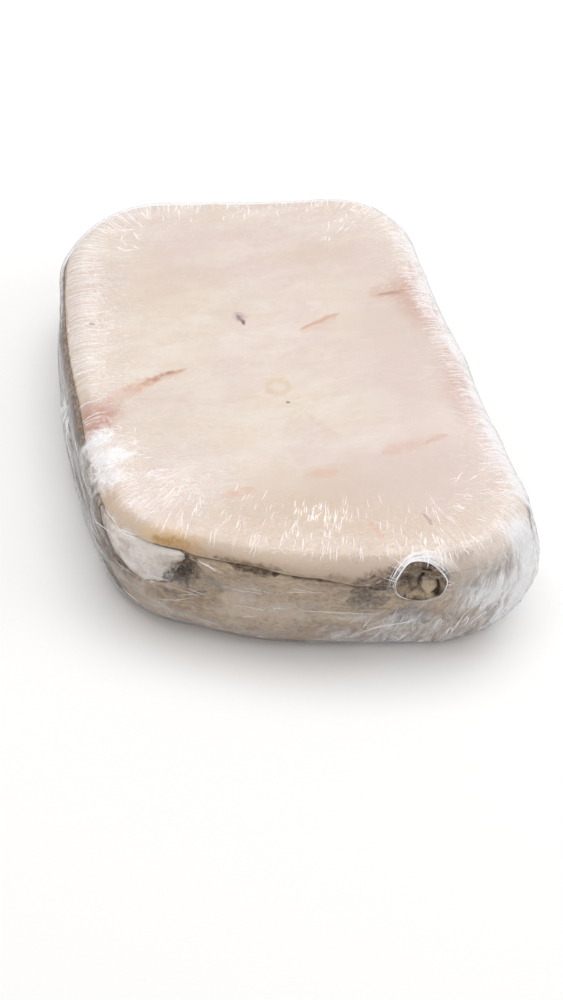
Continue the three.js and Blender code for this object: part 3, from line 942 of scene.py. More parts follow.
@dataclass(frozen=True)
class PaleFleshFinish:
    """Frozen white fillets: cream to pink mottling, brown midlines, small clots, painted shade and
    light by the crease.
    """

    cream: Colour = tint(222, 207, 193)
    pink: Colour = tint(219, 201, 193)
    chalk: Colour = tint(231, 222, 214)
    # Tan for the grain and specks, also used as painted shade on the roll by the crease.
    tan_grain_and_crease_shade: Colour = tint(209, 183, 153)
    # Painted light: a paler colour for the crease's roll towards the right.
    painted_light_right_crease: Colour = tint(221, 208, 196)
    biscuit: Colour = tint(208, 187, 168)
    rose: Colour = tint(214, 195, 187)
    blush: Colour = tint(194, 152, 135)
    ring_place: Pair = (0.7, -15.4)
    ring_radius: float = 4.7
    ring_colour: Colour = tint(214, 188, 152)
    biscuit_patches: tuple[tuple[Pair, Pair, float], ...] = (
        ((0, -112), (116, 58), 0.85),
        ((-40, 70), (46, 30), 0.3),
        ((42, 76), (30, 16), 0.4),
    )
    rose_patches: tuple[tuple[Pair, Pair, float], ...] = (
        ((72, 0), (46, 120), 0.7),
        ((54, -88), (56, 36), 0.75),
    )
    blush_patches: tuple[tuple[Pair, Pair, float], ...] = (
        ((-86, -17), (17, 18), 0.95),
        ((80, 32), (16, 34), 0.55),
        ((84, -38), (15, 40), 0.4),
    )
    top_marks: tuple[Mark, ...] = (
        Mark((-70, -3), (-54, 2.6), 5.4, tint(208, 164, 138), 0.7, 0),
        Mark((-64, 0), (-39, 6.4), 3.2, tint(202, 154, 128), 0.75, 0),
        Mark((-58, 2.2), (-42, 5.8), 1.7, tint(172, 116, 92), 0.75, 0),
        Mark((-80, -9), (-62, 0), 7, tint(214, 178, 160), 0.6),
        Mark((19, 20.9), (40.6, 28.8), 2.4, tint(204, 156, 126), 0.75),
        Mark((20, 21.5), (36, 27), 0.9, tint(178, 122, 96), 0.7),
        Mark((18, 19), (38, 27), 6.5, tint(216, 188, 168), 0.5),
        Mark((60.4, 38.2), (75.9, 39.4), 2.8, tint(172, 124, 100), 0.8),
        Mark((62, 38.4), (73, 39.2), 1.1, tint(132, 84, 62), 0.85),
        Mark((58, 39), (79, 42), 9, tint(206, 172, 155), 0.6),
        Mark((-39.4, -80.2), (-24.1, -78.6), 3.6, tint(216, 176, 154), 0.6),
        Mark((-0.4, -74.2), (15.1, -76.4), 4, tint(219, 180, 154), 0.6),
        Mark((37.9, -68.4), (59.7, -65.3), 6, tint(214, 178, 164), 0.65),
        Mark((57, -66), (68.1, -63.9), 3.2, tint(206, 164, 148), 0.6),
        Mark((8, -34), (20, -54), 3, tint(219, 196, 180), 0.6),
        Mark((-6.4, 30.4), (-8.8, 39.6), 4.6, tint(178, 148, 150), 0.8, 0),
        Mark((-6.8, 31), (-8.6, 37.6), 2, tint(134, 100, 104), 0.8, 0),
        Mark((-6.8, 31.4), (-6.2, 30.2), 1.7, tint(84, 52, 56), 0.9, 0.2, 0),
        Mark((2.2, -26.2), (2.8, -26.2), 0.9, tint(50, 42, 40), 1, 0.4, 0),
        Mark((-78.3, 46.2), (-77.7, 46.2), 1.1, tint(50, 42, 40), 1, 0.4, 0),
        Mark((44, -109.3), (46.2, -117.8), 1.1, tint(140, 108, 112), 0.7),
        Mark((20, -110), (24, -122), 2.4, tint(214, 166, 146), 0.5),
    )
    wall_marks: tuple[Mark, ...] = (
        Mark((-340, 46.8), (-165, 47.2), 1.8, tint(190, 148, 116), 0.8, taper=0.2),
        Mark((-150, 47.5), (-100, 46), 2.6, tint(206, 190, 174), 0.7),
        Mark((-122, 50.5), (-99, 50.5), 11, tint(222, 190, 144), 0.7, 0, 0.4),
        Mark((-117, 49.6), (-101, 49), 5.4, tint(182, 136, 66), 0.85, 0, 0.4),
        Mark((-104, 50), (-92, 45.4), 4.6, tint(200, 164, 124), 0.7),
        Mark((-48, 55), (-12, 57), 7, tint(200, 180, 162), 0.55),
        Mark((12, 54.5), (28, 52.5), 6, tint(176, 158, 145), 0.6),
        Mark((-40, 45.5), (-24, 42.5), 3.6, tint(160, 134, 110), 0.7),
        # Painted shade: this mark and the next two darken along the crease and over the vent's top.
        Mark((-26, 41.5), (-8, 48), 5.6, tint(116, 96, 80), 0.95, taper=0.3),
        Mark((-8, 46), (1, 51.4), 4.6, tint(104, 84, 66), 0.95, 0.3, 0),
        Mark((1, 51.4), (11, 46.6), 4.6, tint(104, 84, 66), 0.95, 0.3, 0),
        Mark((-98, 48.6), (-48, 47.6), 3.6, tint(196, 172, 146), 0.5),
        # Painted shade: a dark line along the crease.
        Mark((-90, 46.6), (-58, 46.8), 2.6, tint(132, 108, 78), 0.85, 0),
        Mark((-60, 46), (-28, 43.4), 2, tint(170, 146, 118), 0.7, 0),
    )

    def material(self, shift: Pair) -> bpy.types.Material:
        """Makes the material.

        Args:
            shift: How far the slab's own middle lies off the shared frame's.

        Returns:
            The material.
        """
        book = Finish("pale_flesh")
        plan, wall = book.plan(shift), book.wall()
        broad = book.noise(plan, 58, 2.0).climb(0.36, 0.64)
        colour = book.blend(broad, self.cream, self.pink)
        mottle = book.noise(book.stretched(plan, (1.6, 1.0, 1.0)), 13, 5.0, 0.62)
        colour = book.blend(mottle.climb(0.42, 0.66) * 0.45, colour, self.chalk)
        grain = book.noise(book.stretched(plan, (2.6, 1.0, 1.0)), 2.6, 5.0, 0.72)
        colour = book.blend(grain.climb(0.5, 0.72) * 0.35, colour, self.chalk)
        colour = book.blend(grain.climb(0.46, 0.3) * 0.3, colour, self.tan_grain_and_crease_shade)
        near_edge = book.value("crease")
        specks = book.noise(plan, 1.1, 3.0, 0.7)
        colour = book.blend(specks.climb(0.54, 0.7) * 0.4, colour, self.chalk)
        colour = book.blend(specks.climb(0.46, 0.34) * 0.2, colour, self.tan_grain_and_crease_shade)
        # Painted shade and light: near the crease the roll turns tan, paler towards the right, and
        # only weakly on the left side.
        band = 1.0 - (near_edge + book.noise(wall, 9, 3.0) * 5.0).climb(3.0, 17.0)
        around = book.part(wall, 0)
        edge = book.blend(around.climb(4.0, 26.0), self.tan_grain_and_crease_shade, self.painted_light_right_crease)
        colour = book.blend(band * (around.climb(-190.0, -150.0) * 0.7 + 0.2), colour, edge)
        drift = book.warped(plan, 9, 2.2)
        shades = (self.biscuit, self.rose, self.blush)
        tables = (self.biscuit_patches, self.rose_patches, self.blush_patches)
        for shade, patches in zip(shades, tables):
            for centre, radii, share in patches:
                colour = book.blend(book.spot(drift, centre, radii) * share, colour, shade)
        flat = book.vector("MULTIPLY", drift, (1.0, 1.0, 0.0))
        off = book.vector("DISTANCE", flat, (*self.ring_place, 0.0)) - self.ring_radius
        colour = book.blend(abs(off).climb(0.2, 2.9, 0.5, 0.0), colour, self.ring_colour)
        colour = book.marked(colour, drift, self.top_marks)
        colour = book.marked(colour, book.warped(wall, 5, 1.8), self.wall_marks)
        relief = mottle * 0.5 + grain * 0.4 + specks * 0.3
        shader = book.node("ShaderNodeBsdfPrincipled", {"subsurface_method": "BURLEY"}, {
            "Base Color": colour,
            "Roughness": mottle * 0.25 + 0.3,
            "Subsurface Weight": 0.12,
            "Subsurface Scale": 0.004,
            "Subsurface Radius": (1.0, 0.5, 0.3),
            "Specular IOR Level": 0.4,
            "Coat Weight": 0.15,
            "Coat Roughness": 0.25,
            "Normal": book.bump(relief, 0.5, 0.6),
        })
        return book.finished(shader)


@dataclass(frozen=True)
class GreyFleshFinish:
    """Frozen grey flesh and skin: brown and grey mottling, dark folds, pale membrane, painted shade by
    the crease.
    """

    grey: Colour = tint(196, 174, 149)
    brown: Colour = tint(173, 149, 125)
    pale: Colour = tint(219, 201, 177)
    mauve: Colour = tint(181, 161, 149)
    # Dark for the wisps and flecks, also used as painted shade along the crease.
    dark_grain_and_crease_shade: Colour = tint(104, 82, 56)
    beige: Colour = tint(214, 201, 189)
    marks: tuple[Mark, ...] = (
        # Painted shade: the first mark darkens the left side's wall, which the lamps light less.
        Mark((-350, 24), (-150, 24), 30, tint(94, 77, 60), 0.9, 0.6, 0),
        Mark((-98, 40), (-109, 29), 10, tint(66, 42, 8), 1, 0.3),
        Mark((-100, 36), (-106, 32), 3.6, tint(26, 14, 2), 0.9),
        Mark((-99, 43.4), (-92, 42.6), 1.6, tint(74, 56, 30), 0.9),
        # Painted shade: a dark line along the flap's foot, where it meets the wall.
        Mark((-119, 23.6), (-109, 26.6), 1.6, tint(58, 48, 36), 0.95),
        Mark((-111, 26.2), (-98, 31), 1.5, tint(66, 52, 38), 0.9),
        Mark((-116, 20.6), (-103, 22.6), 1.5, tint(92, 78, 62), 0.75),
        Mark((-98, 24), (-92, 26), 1.3, tint(92, 78, 62), 0.6),
        Mark((-99, 38), (-84, 30), 5, tint(122, 107, 92), 0.6),
        Mark((-96, 43.5), (-84, 39.5), 1.5, tint(228, 216, 200), 0.8),
        Mark((-142, 18), (-108, 11), 10, tint(190, 176, 163), 0.7),
        Mark((-86, 26), (-48, 22), 13, tint(216, 196, 175), 0.75),
        # Painted shade: these two dark lines follow the crease.
        Mark((-84, 45), (-58, 44.9), 2.6, tint(70, 50, 28), 0.95),
        Mark((-58, 44.4), (-26, 40), 1.2, tint(82, 66, 48), 0.85),
        Mark((-28, 36.5), (-9, 41), 8, tint(84, 66, 50), 0.95, 0.2),
        Mark((-20, 38), (-12, 37), 2.6, tint(54, 40, 28), 0.8),
        Mark((19, 15), (23, 20), 2.2, tint(150, 104, 70), 0.8),
        Mark((28, 21), (34, 27), 1.8, tint(112, 84, 66), 0.85),
        Mark((38, 17), (42, 24), 1.8, tint(138, 106, 82), 0.85),
        Mark((12, 11), (22, 13), 1.8, tint(128, 96, 70), 0.7),
        Mark((45, 12), (52, 22), 2, tint(146, 122, 104), 0.6),
        Mark((-30, 30), (-12, 31), 8, tint(96, 83, 72), 0.85),
        Mark((-10, 22), (6, 18), 9, tint(112, 102, 98), 0.8),
        Mark((-34, 35), (-20, 35), 3, tint(120, 106, 92), 0.45),
    )

    def material(self) -> bpy.types.Material:
        """Makes the material.

        Returns:
            The material.
        """
        book = Finish("grey_flesh")
        wall = book.wall()
        broad = book.noise(book.stretched(wall, (1.8, 1.0, 1.0)), 17, 3.0, 0.55)
        colour = book.blend(broad.climb(0.38, 0.62), self.grey, self.brown)
        wisps = book.noise(book.stretched(wall, (3.4, 1.0, 1.0)), 5.5, 5.0, 0.66)
        colour = book.blend(wisps.climb(0.5, 0.75) * 0.6, colour, self.pale)
        colour = book.blend(wisps.climb(0.49, 0.34) * 0.4, colour, self.dark_grain_and_crease_shade)
        fleck = book.noise(book.stretched(wall, (2.0, 1.0, 1.0)), 1.5, 3.0, 0.7)
        colour = book.blend(fleck.climb(0.52, 0.66) * 0.5, colour, self.pale)
        colour = book.blend(fleck.climb(0.47, 0.36) * 0.36, colour, self.dark_grain_and_crease_shade)
        low = 1.0 - (book.part(wall, 1) + book.noise(wall, 16, 2.0) * 10.0).climb(12.0, 24.0)
        colour = book.blend(low * 0.65, colour, self.mauve)
        near_edge = book.value("crease")
        # Painted shade: a dark line along the crease, left off towards the right.
        line = 1.0 - near_edge.climb(0.2, 1.6)
        right = book.part(wall, 0).climb(10.0, 26.0)
        colour = book.blend(line * 0.4 * (1.0 - right), colour, self.dark_grain_and_crease_shade)
        upper_part = 1.0 - (near_edge + broad * 8.0).climb(4.0, 18.0)
        colour = book.blend(upper_part * right * 0.9, colour, self.beige)
        colour = book.marked(colour, book.warped(wall, 6, 2.4), self.marks)
        relief = wisps * 0.8 + fleck * 0.5
        shader = book.node("ShaderNodeBsdfPrincipled", {"subsurface_method": "BURLEY"}, {
            "Base Color": colour,
            "Roughness": wisps * 0.3 + 0.3,
            "Specular IOR Level": 0.3,
            "Subsurface Weight": 0.04,
            "Subsurface Scale": 0.002,
            "Normal": book.bump(relief, 0.7, 0.8),
        })
        return book.finished(shader)


@dataclass(frozen=True)
class BellyFinish:
    """The belly flap: whitish membrane with grey mottling."""

    white: Colour = tint(246, 238, 231)
    grey: Colour = tint(218, 206, 197)
    thread_light: Colour = tint(232, 225, 216)
    thread_dark: Colour = tint(168, 152, 138)
    marks: tuple[Mark, ...] = (
        Mark((-152, 44), (-139, 27), 8, tint(172, 155, 139), 0.9, taper=0.1),
        Mark((-142, 26), (-122, 22.6), 5, tint(184, 168, 153), 0.85, taper=0.1),
        Mark((-136, 40), (-128, 39), 3, tint(176, 160, 146), 0.6),
        Mark((-112, 37), (-104, 41), 2.4, tint(170, 152, 132), 0.6),
        # Painted highlight: a pale band along the flap's ridge, over its whitish membrane.
        Mark((-140, 43.6), (-103, 44.8), 2.8, tint(240, 233, 224), 0.9, taper=0.3),
        Mark((-100, 44), (-110, 30), 4.4, tint(70, 50, 20), 0.95, 0.2, 0.3),
        # Painted shade: a dark line along the flap's foot, where it meets the wall.
        Mark((-120, 24.4), (-109, 28), 1.5, tint(80, 68, 54), 0.85),
    )

    def material(self) -> bpy.types.Material:
        """Makes the material.

        Returns:
            The material.
        """
        book = Finish("belly_flesh")
        wall = book.wall()
        patches = book.noise(book.warped(wall, 6, 2.0), 9, 5.0, 0.6)
        colour = book.blend(patches.climb(0.42, 0.6), self.white, self.grey)
        threads = book.noise(book.stretched(wall, (2.4, 1.0, 1.0)), 1.8, 4.0, 0.7)
        colour = book.blend(threads.climb(0.5, 0.66) * 0.5, colour, self.thread_light)
        colour = book.blend(threads.climb(0.48, 0.36) * 0.3, colour, self.thread_dark)
        colour = book.marked(colour, book.warped(wall, 4, 2.0), self.marks)
        shader = book.node("ShaderNodeBsdfPrincipled", {"subsurface_method": "BURLEY"}, {
            "Base Color": colour,
            "Roughness": threads * 0.25 + 0.3,
            "Specular IOR Level": 0.35,
            "Subsurface Weight": 0.06,
            "Subsurface Scale": 0.003,
            "Normal": book.bump(patches * 0.6 + threads * 0.5, 0.7, 0.7),
        })
        return book.finished(shader)


@dataclass(frozen=True)
class VentFleshFinish:
    """The bare flesh in the vent: dark grey-brown, with a beige fillet tip, its cleft and hollows
    darkened as painted shade.
    """

    dark: Colour = tint(122, 104, 86)
    grey: Colour = tint(176, 161, 148)
    black: Colour = tint(46, 34, 22)
    beige: Colour = tint(206, 188, 162)
    marks: tuple[Mark, ...] = (
        Mark((-9, 36), (-2, 33), 2.6, tint(186, 162, 136), 0.7),
        Mark((-3, 31.5), (9, 31), 2.2, tint(214, 196, 166), 0.95, taper=0.3),
        # Painted shade: this mark and the next darken the cleft.
        Mark((2.2, 44.5), (1.6, 41.5), 1.5, tint(26, 14, 8), 0.95, 0.3),
        Mark((1.2, 40), (0.8, 35.5), 0.9, tint(60, 46, 28), 0.9),
        Mark((-3.4, 45.6), (-2.2, 43.6), 1.3, tint(40, 30, 22), 0.9),
        # Painted shade: the groove below the fillet's tip.
        Mark((6.4, 32.8), (9.6, 35), 1.1, tint(48, 36, 18), 0.95),
        Mark((9, 44), (12, 47), 3, tint(110, 97, 84), 0.6),
    )

    def material(self) -> bpy.types.Material:
        """Makes the material.

        Returns:
            The material.
        """
        book = Finish("vent_flesh")
        wall = book.wall()
        patches = book.noise(book.warped(wall, 3, 1.2), 3.4, 5.0, 0.7)
        colour = book.blend(patches.climb(0.42, 0.62), self.dark, self.grey)
        # Painted shade: the cleft and hollows darken towards black.
        deep = book.value("deep")
        colour = book.blend(deep, colour, self.black)
        tip = book.value("tip")
        colour = book.blend(tip, colour, self.beige)
        colour = book.marked(colour, book.warped(wall, 2, 0.7), self.marks)
        grain = book.noise(wall, 0.8, 3.0, 0.6)
        colour = book.blend(grain.climb(0.5, 0.35) * 0.4, colour, self.black)
        shader = book.node("ShaderNodeBsdfPrincipled", {}, {
            "Base Color": colour,
            "Roughness": grain * 0.3 + 0.45,
            "Specular IOR Level": 0.3,
            "Normal": book.bump(patches * 0.6 + grain * 0.4, 0.6, 0.6),
        })
        return book.finished(shader)


@dataclass(frozen=True)
class FilmFinish:
    """Clear shrink film: mirror-like where it is tight, whitish where it wrinkles, and greyed where it
    turns away from the camera, a painted dark outline.
    """

    white: Colour = tint(240, 240, 242)
    outline: Colour = tint(206, 211, 217)
    # Painted shade: the grey that the film's rim turns to, where it faces away from the camera.
    painted_rim_shade: Colour = tint(128, 131, 134)
    clear: float = 0.02
    edge: float = 0.55
    lean: float = 66

    def material(self) -> bpy.types.Material:
        """Makes the material of the wrap.

        Returns:
            The material.
        """
        book = Finish("film")
        wall = book.wall()
        place = book.place()
        haze = book.value("haze")
        tuck = book.value("tuck")
        veil = book.noise(place, 9, 3.0, 0.6).climb(0.4, 0.72)
        crumple = book.noise(book.warped(place, 7, 2.5), 4.4, 2.0, 0.6)
        ridges = (1.0 - abs(crumple - 0.5) * 14.0).most(0.0)
        threads = book.noise(book.stretched(wall, (5.0, 1.0, 1.0)), 2.2, 3.0, 0.6)
        fold = book.value("fold")
        slant = book.value("slant")
        leaning = book.turned(book.warped(wall, 12, 2.6), -self.lean)
        bands = book.noise(book.stretched(leaning, (5.0, 1.0, 1.0)), 3.0, 3.0, 0.6)
        creases = book.noise(book.stretched(leaning, (5.5, 1.0, 1.0)), 2.6, 2.0, 0.6)
        lines = (1.0 - abs(creases - 0.5) * 20.0).most(0.0)
        leant = bands.climb(0.34, 0.74) * 0.55 + lines * 0.34 + 0.16
        straight = veil * 0.45 + ridges * 0.4 + threads.climb(0.55, 0.75) * 0.2
        milk = haze * (straight * (1.0 - slant) + leant * slant)
        milk = milk + (haze - 0.9).most(0.0) * 1.3 + fold * (threads * 0.5 + 0.3)
        rim = book.node("ShaderNodeLayerWeight", {}, {"Blend": 0.12}, "Facing")
        turned = rim.climb(0.24, 0.5)
        share = (milk + rim.power(2.0) * self.edge + turned * 0.6 + self.clear).least(0.95)
        gather = book.noise(book.stretched(wall, (1.0, 16.0, 1.0)), 1.5, 2.0, 0.5) * tuck
        slanted = (lines * 0.4 + bands * 0.5) * slant
        height = ridges * 0.4 + veil * 0.4 + threads * 0.5 + gather * 2.2 + slanted
        body = book.blend((milk * 4.0).least(1.0), self.outline, self.white)
        shader = book.node("ShaderNodeBsdfPrincipled", {}, {
            # Painted shade: the colour greys where the film turns away, drawing a dark outline.
            "Base Color": book.blend(turned * 0.8, body, self.painted_rim_shade),
            "Roughness": milk.least(1.0) * 0.2 + 0.1,
            "Metallic": 1.0 - (milk * 5.0).least(1.0),
            "Normal": book.bump(height, 0.5, 0.35),
        })
        outer = book.see_through(share, shader)
        clear = book.node("ShaderNodeBsdfTransparent")
        sides = {0: book.value("inside"), 1: outer, 2: clear}
        return book.finished(book.node("ShaderNodeMixShader", {}, sides))

    def fold_material(self, name: str, share: float, painted_glow: float) -> bpy.types.Material:
        """Makes the material of gathers and folds, where several layers of film lie together.

        Args:
            name: The material's name.
            share: How much of what is behind the folds hide, from 0 to 1.
            painted_glow: How brightly they light up by their own emission, painted light that no lamp
                gives.

        Returns:
            The material.
        """
        book = Finish(name)
        place = book.place()
        cloud = book.noise(place, 2.2, 3.0, 0.6)
        rim = book.node("ShaderNodeLayerWeight", {}, {"Blend": 0.2}, "Facing")
        cover = (cloud.climb(0.3, 0.7) * 0.3 + 0.8) * share + rim * 0.2
        shader = book.node("ShaderNodeBsdfPrincipled", {}, {
            "Base Color": self.white,
            "Roughness": cloud * 0.15 + 0.1,
            "Coat Weight": 0.6,
            "Coat Roughness": 0.06,
            # Painted light: the folds glow by themselves, brighter than the lamps make them.
            "Emission Color": self.white,
            "Emission Strength": painted_glow,
            "Normal": book.bump(cloud, 0.3, 0.3),
        })
        return book.finished(book.see_through(cover.least(0.98), shader))


class Slot(Enum):
    """The record's material slots."""

    PALE_FLESH = "pale_flesh"
    GREY_FLESH = "grey_flesh"
    BELLY_FLESH = "belly_flesh"
    FILM = "film"


def dress(piece: bpy.types.Object, finish: bpy.types.Material, slot: Slot, *nodes: str) -> None:
    """Finishes a piece: its material, its body and the solids that it stands for.

    Clear film throws hardly any shadow, so its pieces throw none.

    Args:
        piece: The piece.
        finish: Its material.
        slot: The record's slot, which here only decides whether the piece throws a shadow.
        nodes: The solids that it replaces.
    """
    piece.data.materials.clear()
    piece.data.materials.append(finish)
    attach(piece, "root")
    piece.visible_shadow = slot is not Slot.FILM
    if nodes:
        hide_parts(*nodes)
    LOG.info("%s: %d points, %d faces", piece.name, len(piece.data.vertices), len(piece.data.polygons))


@dataclass
class Vent:
    """The round vent in the film, and the hollow in the fish behind it."""

    along: float = 1.7
    up: float = 41
    half_width: float = 11.2
    half_height: float = 11
    hollow_width: float = 12.4
    hollow_height: float = 11.8
    hollow_depth: float = 3.8
    spare_depth: float = 5.0
    skin: float = 0.6

    def reach(self, form: SlabForm, along: Array, up: Array, width: float, height: float) -> Array:
        """Gives the distance from the vent's centre, as a share of an oval's radii."""
        across = form.way_along(self.along, along) / width
        return np.hypot(across, (up - self.up) / height)

    def sunk(self, form: SlabForm, along: Array, up: Array) -> Array:
        """Gives the depth of the hollow in the fish."""
        reach = self.reach(form, along, up, self.hollow_width, self.hollow_height)
        return self.hollow_depth * np.sqrt(np.clip(1 - reach**2, 0, 1))


@dataclass
class Flap:
    """The belly flap on the near left corner, and the pocket beside it."""

    start: float = -153
    end: float = -101
    edge: float = 1.6
    belly: float = 2.2
    sunk: float = 0.1
    rounding: float = 0.9
    head: tuple[Pair, ...] = ((-153, 45.2), (-138, 44.5), (-127, 46.3), (-105, 46.4), (-101, 44.6))
    foot: tuple[Pair, ...] = (
        (-153, 43.4), (-146, 36), (-137, 28.4), (-127, 24.6), (-119, 23.4), (-110, 28),
        (-101, 42.6),
    )
    spare_room: float = 0.6
    fullness: Pair = (0.2, 0.92)
    pocket: Pair = (-119, -84)
    pocket_depth: float = 3.4
    pocket_head: tuple[Pair, ...] = ((-119, 24), (-100, 44.0), (-84, 26))
    pocket_foot: tuple[Pair, ...] = ((-119, 17), (-98, 21), (-84, 20.5))
    pocket_fullness: Pair = (0.25, 1)
    columns: int = 64
    rows: int = 26

    @staticmethod
    def full_share(fullness: Pair, share: Array, rise: Array) -> Array:
        """Gives how full a patch is at shares along and up it."""
        along = np.sin(np.pi * (fullness[0] + (fullness[1] - fullness[0]) * share))
        return np.sqrt(np.clip(np.sin(np.pi * rise) * along, 0, 1))

    def room(self, form: SlabForm, along: Array, up: Array) -> Array:
        """Gives how far the fish is cut back for the flap and the pocket.

        Args:
            form: The slab's form.
            along: Places along the wall.
            up: Heights on the wall.

        Returns:
            The depths.
        """
        low, high = form.eased(self.foot, along), form.eased(self.head, along)
        share = form.way_along(self.start, along) / (self.end - self.start)
        rise = (up - low + 0.5) / np.maximum(high - low + 1, 0.1)
        inside = (share > -0.01) & (share < 1.01) & (rise > 0) & (rise < 1)
        full = self.full_share(self.fullness, np.clip(share, 0, 1), np.clip(rise, 0, 1))
        depth = np.where(inside, self.sunk + self.edge + self.belly * full + self.spare_room, 0)
        low, high = form.eased(self.pocket_foot, along), form.eased(self.pocket_head, along)
        share = form.way_along(self.pocket[0], along) / (self.pocket[1] - self.pocket[0])
        rise = (up - low) / np.maximum(high - low, 0.1)
        inside = (share > 0) & (share < 1) & (rise > 0) & (rise < 1)
        full = self.full_share(self.pocket_fullness, np.clip(share, 0, 1), np.clip(rise, 0, 1))
        return np.maximum(depth, np.where(inside, self.pocket_depth * full, 0))


@dataclass
class Fillets:
    """The two layers of fillets, the flap and the bare flesh in the vent."""

    form: SlabForm
    maker: MeshMaker
    vent: Vent
    flap: Flap
    coarse_step: float = 2.0
    fine_step: float = 0.9
    lid_rings: int = 40
    lump_cell: float = 16
    lump_size: float = 0.22
    grain_cell: float = 4.5
    grain_size: float = 0.09
    hidden_share: float = 0.6
    hidden_up: float = 40
    lid_up: float = 85
    seed: int = 11

    def __post_init__(self) -> None:
        """Lays out the columns and draws the noise."""
        stretches = ((-165.0, -60.0), (-22.0, 25.0))
        self.columns = self.form.columns(self.coarse_step, self.fine_step, stretches)
        self.lattice = Lattice(self.seed)

    def _roughened(self, piece: bpy.types.Object, cut: Array) -> None:
        """Gives a layer its lumps and grain, and cuts it back by a depth at each point.

        Args:
            piece: The layer.
            cut: The depths.
        """
        places = points_of(piece) / MM
        relief = self.lump_size * (self.lattice.at(places, self.lump_cell) - 0.4)
        relief = relief + self.grain_size * self.lattice.at(places, self.grain_cell)
        push_out(piece, relief - cut)

    def _closed(self, name: str, skin: Skin, first: Array, last: Array) -> bpy.types.Object:
        """Makes a closed mesh from rings and two poles, with its UV map.

        Args:
            name: The object's name.
            skin: The rings.
            first: The first ring's pole.
            last: The last ring's pole.

        Returns:
            The object.
        """
        count = len(self.columns)
        rings = len(skin.points)
        points = np.concatenate([*skin.points, [first], [last]])
        along = np.concatenate([*skin.along, [0, 0]])
        up = np.concatenate([*skin.up, [skin.up[0][0], skin.up[-1][0]]])
        faces = [tuple(face) for face in grid_faces(rings, count).tolist()]
        faces += pole_faces(rings * count, 0, count, outward=False)
        faces += pole_faces(rings * count + 1, (rings - 1) * count, count, outward=True)
        return self.maker.build(name, points, faces, np.c_[along, up])

    def _lid(self, skin: Skin, end_up: Array) -> None:
        """Adds the flat top's rings to a skin whose last ring is the rim.

        Args:
            skin: The rings so far.
            end_up: The rim's length up the wall.
        """
        rim = len(skin.points) - 1
        for step in range(1, self.lid_rings):
            share = 1 - step / self.lid_rings
            plan = skin.shrunk(rim, share, self.form.middle)
            height = self.form.top_height(plan[:, 0], plan[:, 1])
            skin.add(np.c_[plan, height], self.columns, end_up + self.lid_up * (1 - share))

    def upper(self) -> bpy.types.Object:
        """Makes the pale upper layer, from the crease over the roll to the flat top.

        Returns:
            The layer's object.
        """
        form, along = self.form, self.columns
        low = form.crease_up(along) + form.crease_shape(along, 0.0)[0]
        end = form.roll_start(along) + form.roll_length
        skin = Skin()
        shares = np.concatenate([[0, 0.015, 0.04, 0.08], np.linspace(0.13, 1, 20)])
        edge = None
        for share in shares:
            up = low + (end - low) * share
            rise = up - low
            across = soft_spot(form.way_along(form.ledge.along, along) / form.ledge.reach)
            ledge = form.ledge.out * across * soft_spot(rise / form.ledge.rise)
            pull = form.crease_shape(along, rise)[1]
            ring = form.wall_point(along, up, 0.0, form.fish_swell(along, up) + ledge - pull)
            if edge is None:
                edge = ring
                plan = form.middle + (ring[:, :2] - form.middle) * self.hidden_share
                level = (ring[:, 2] + form.crease_middle + form.crease_gap / 2) / 2
                skin.add(np.c_[plan, level], along, up - self.hidden_up)
            skin.add(ring, along, up)
        self._lid(skin, end)
        x, y = form.middle
        under = np.array([x, y, form.crease_middle + form.crease_gap / 2])
        over = np.array([x, y, form.top_height(x, y)])
        piece = self._closed("upper_fillets_flesh", skin, under, over)
        self._finish_layer(piece, skin, 1.0)
        return piece

    def lower(self) -> bpy.types.Object:
        """Makes the grey lower layer, from its flat foot up to the crease.

        Returns:
            The layer's object.
        """
        form, along = self.form, self.columns
        skin = Skin()
        roll = form.bottom_roll
        for angle in np.radians([90, 75, 60, 45, 30, 15]):
            up = np.full(len(along), form.film_outside + roll * (1 - np.sin(angle)))
            ring = form.fish_point(along, up)
            if not skin.points:
                plan = form.middle + (ring[:, :2] - form.middle) * self.hidden_share
                skin.add(np.c_[plan, ring[:, 2]], along, up - self.hidden_up)
            skin.add(ring, along, up)
        foot = form.film_outside + roll
        high = form.crease_up(along) - form.crease_shape(along, 0.0)[0]
        for share in np.concatenate([np.linspace(0, 0.9, 28), [0.93, 0.96, 0.985, 1]]):
            up = foot + (high - foot) * share
            pull = form.crease_shape(along, high - up)[1]
            ring = form.wall_point(along, up, 0.0, form.fish_swell(along, up) - pull)
            skin.add(ring, along, up)
        plan = skin.shrunk(len(skin.points) - 1, self.hidden_share, form.middle)
        level = (skin.points[-1][:, 2] + form.crease_middle - form.crease_gap / 2) / 2
        skin.add(np.c_[plan, level], along, high + self.hidden_up)
        x, y = form.middle
        under = np.array([x, y, form.film_outside])
        over = np.array([x, y, form.crease_middle - form.crease_gap / 2])
        piece = self._closed("lower_fillets_flesh", skin, under, over)
        self._finish_layer(piece, skin, -1.0)
        return piece

    def _finish_layer(self, piece: bpy.types.Object, skin: Skin, side: float) -> None:
        """Cuts a layer back at the vent and the flap and measures it to the crease.

        Args:
            piece: The layer.
            skin: Its rings.
            side: 1 above the crease, -1 below it.
        """
        form = self.form
        along = np.concatenate([*skin.along, [0, 0]])
        up = np.concatenate([*skin.up, [-60, 160]])
        cut = self.vent.sunk(form, along, up)
        spare = eased_step(cut, 0.8, 3.0) * (1 - eased_step(up, 41, 46))
        cut = cut + self.vent.spare_depth * spare
        if side < 0:
            cut = np.maximum(cut, self.flap.room(form, along, up))
        flat = up < form.film_outside + 0.1
        self._roughened(piece, cut * ~flat)
        if side < 0:
            places = points_of(piece)
            places[:, 2] = np.maximum(places[:, 2], form.film_outside * MM)
            piece.data.vertices.foreach_set("co", places.ravel())
        give_values(piece, "crease", np.clip((up - form.crease_up(along)) * side, 0, 60))

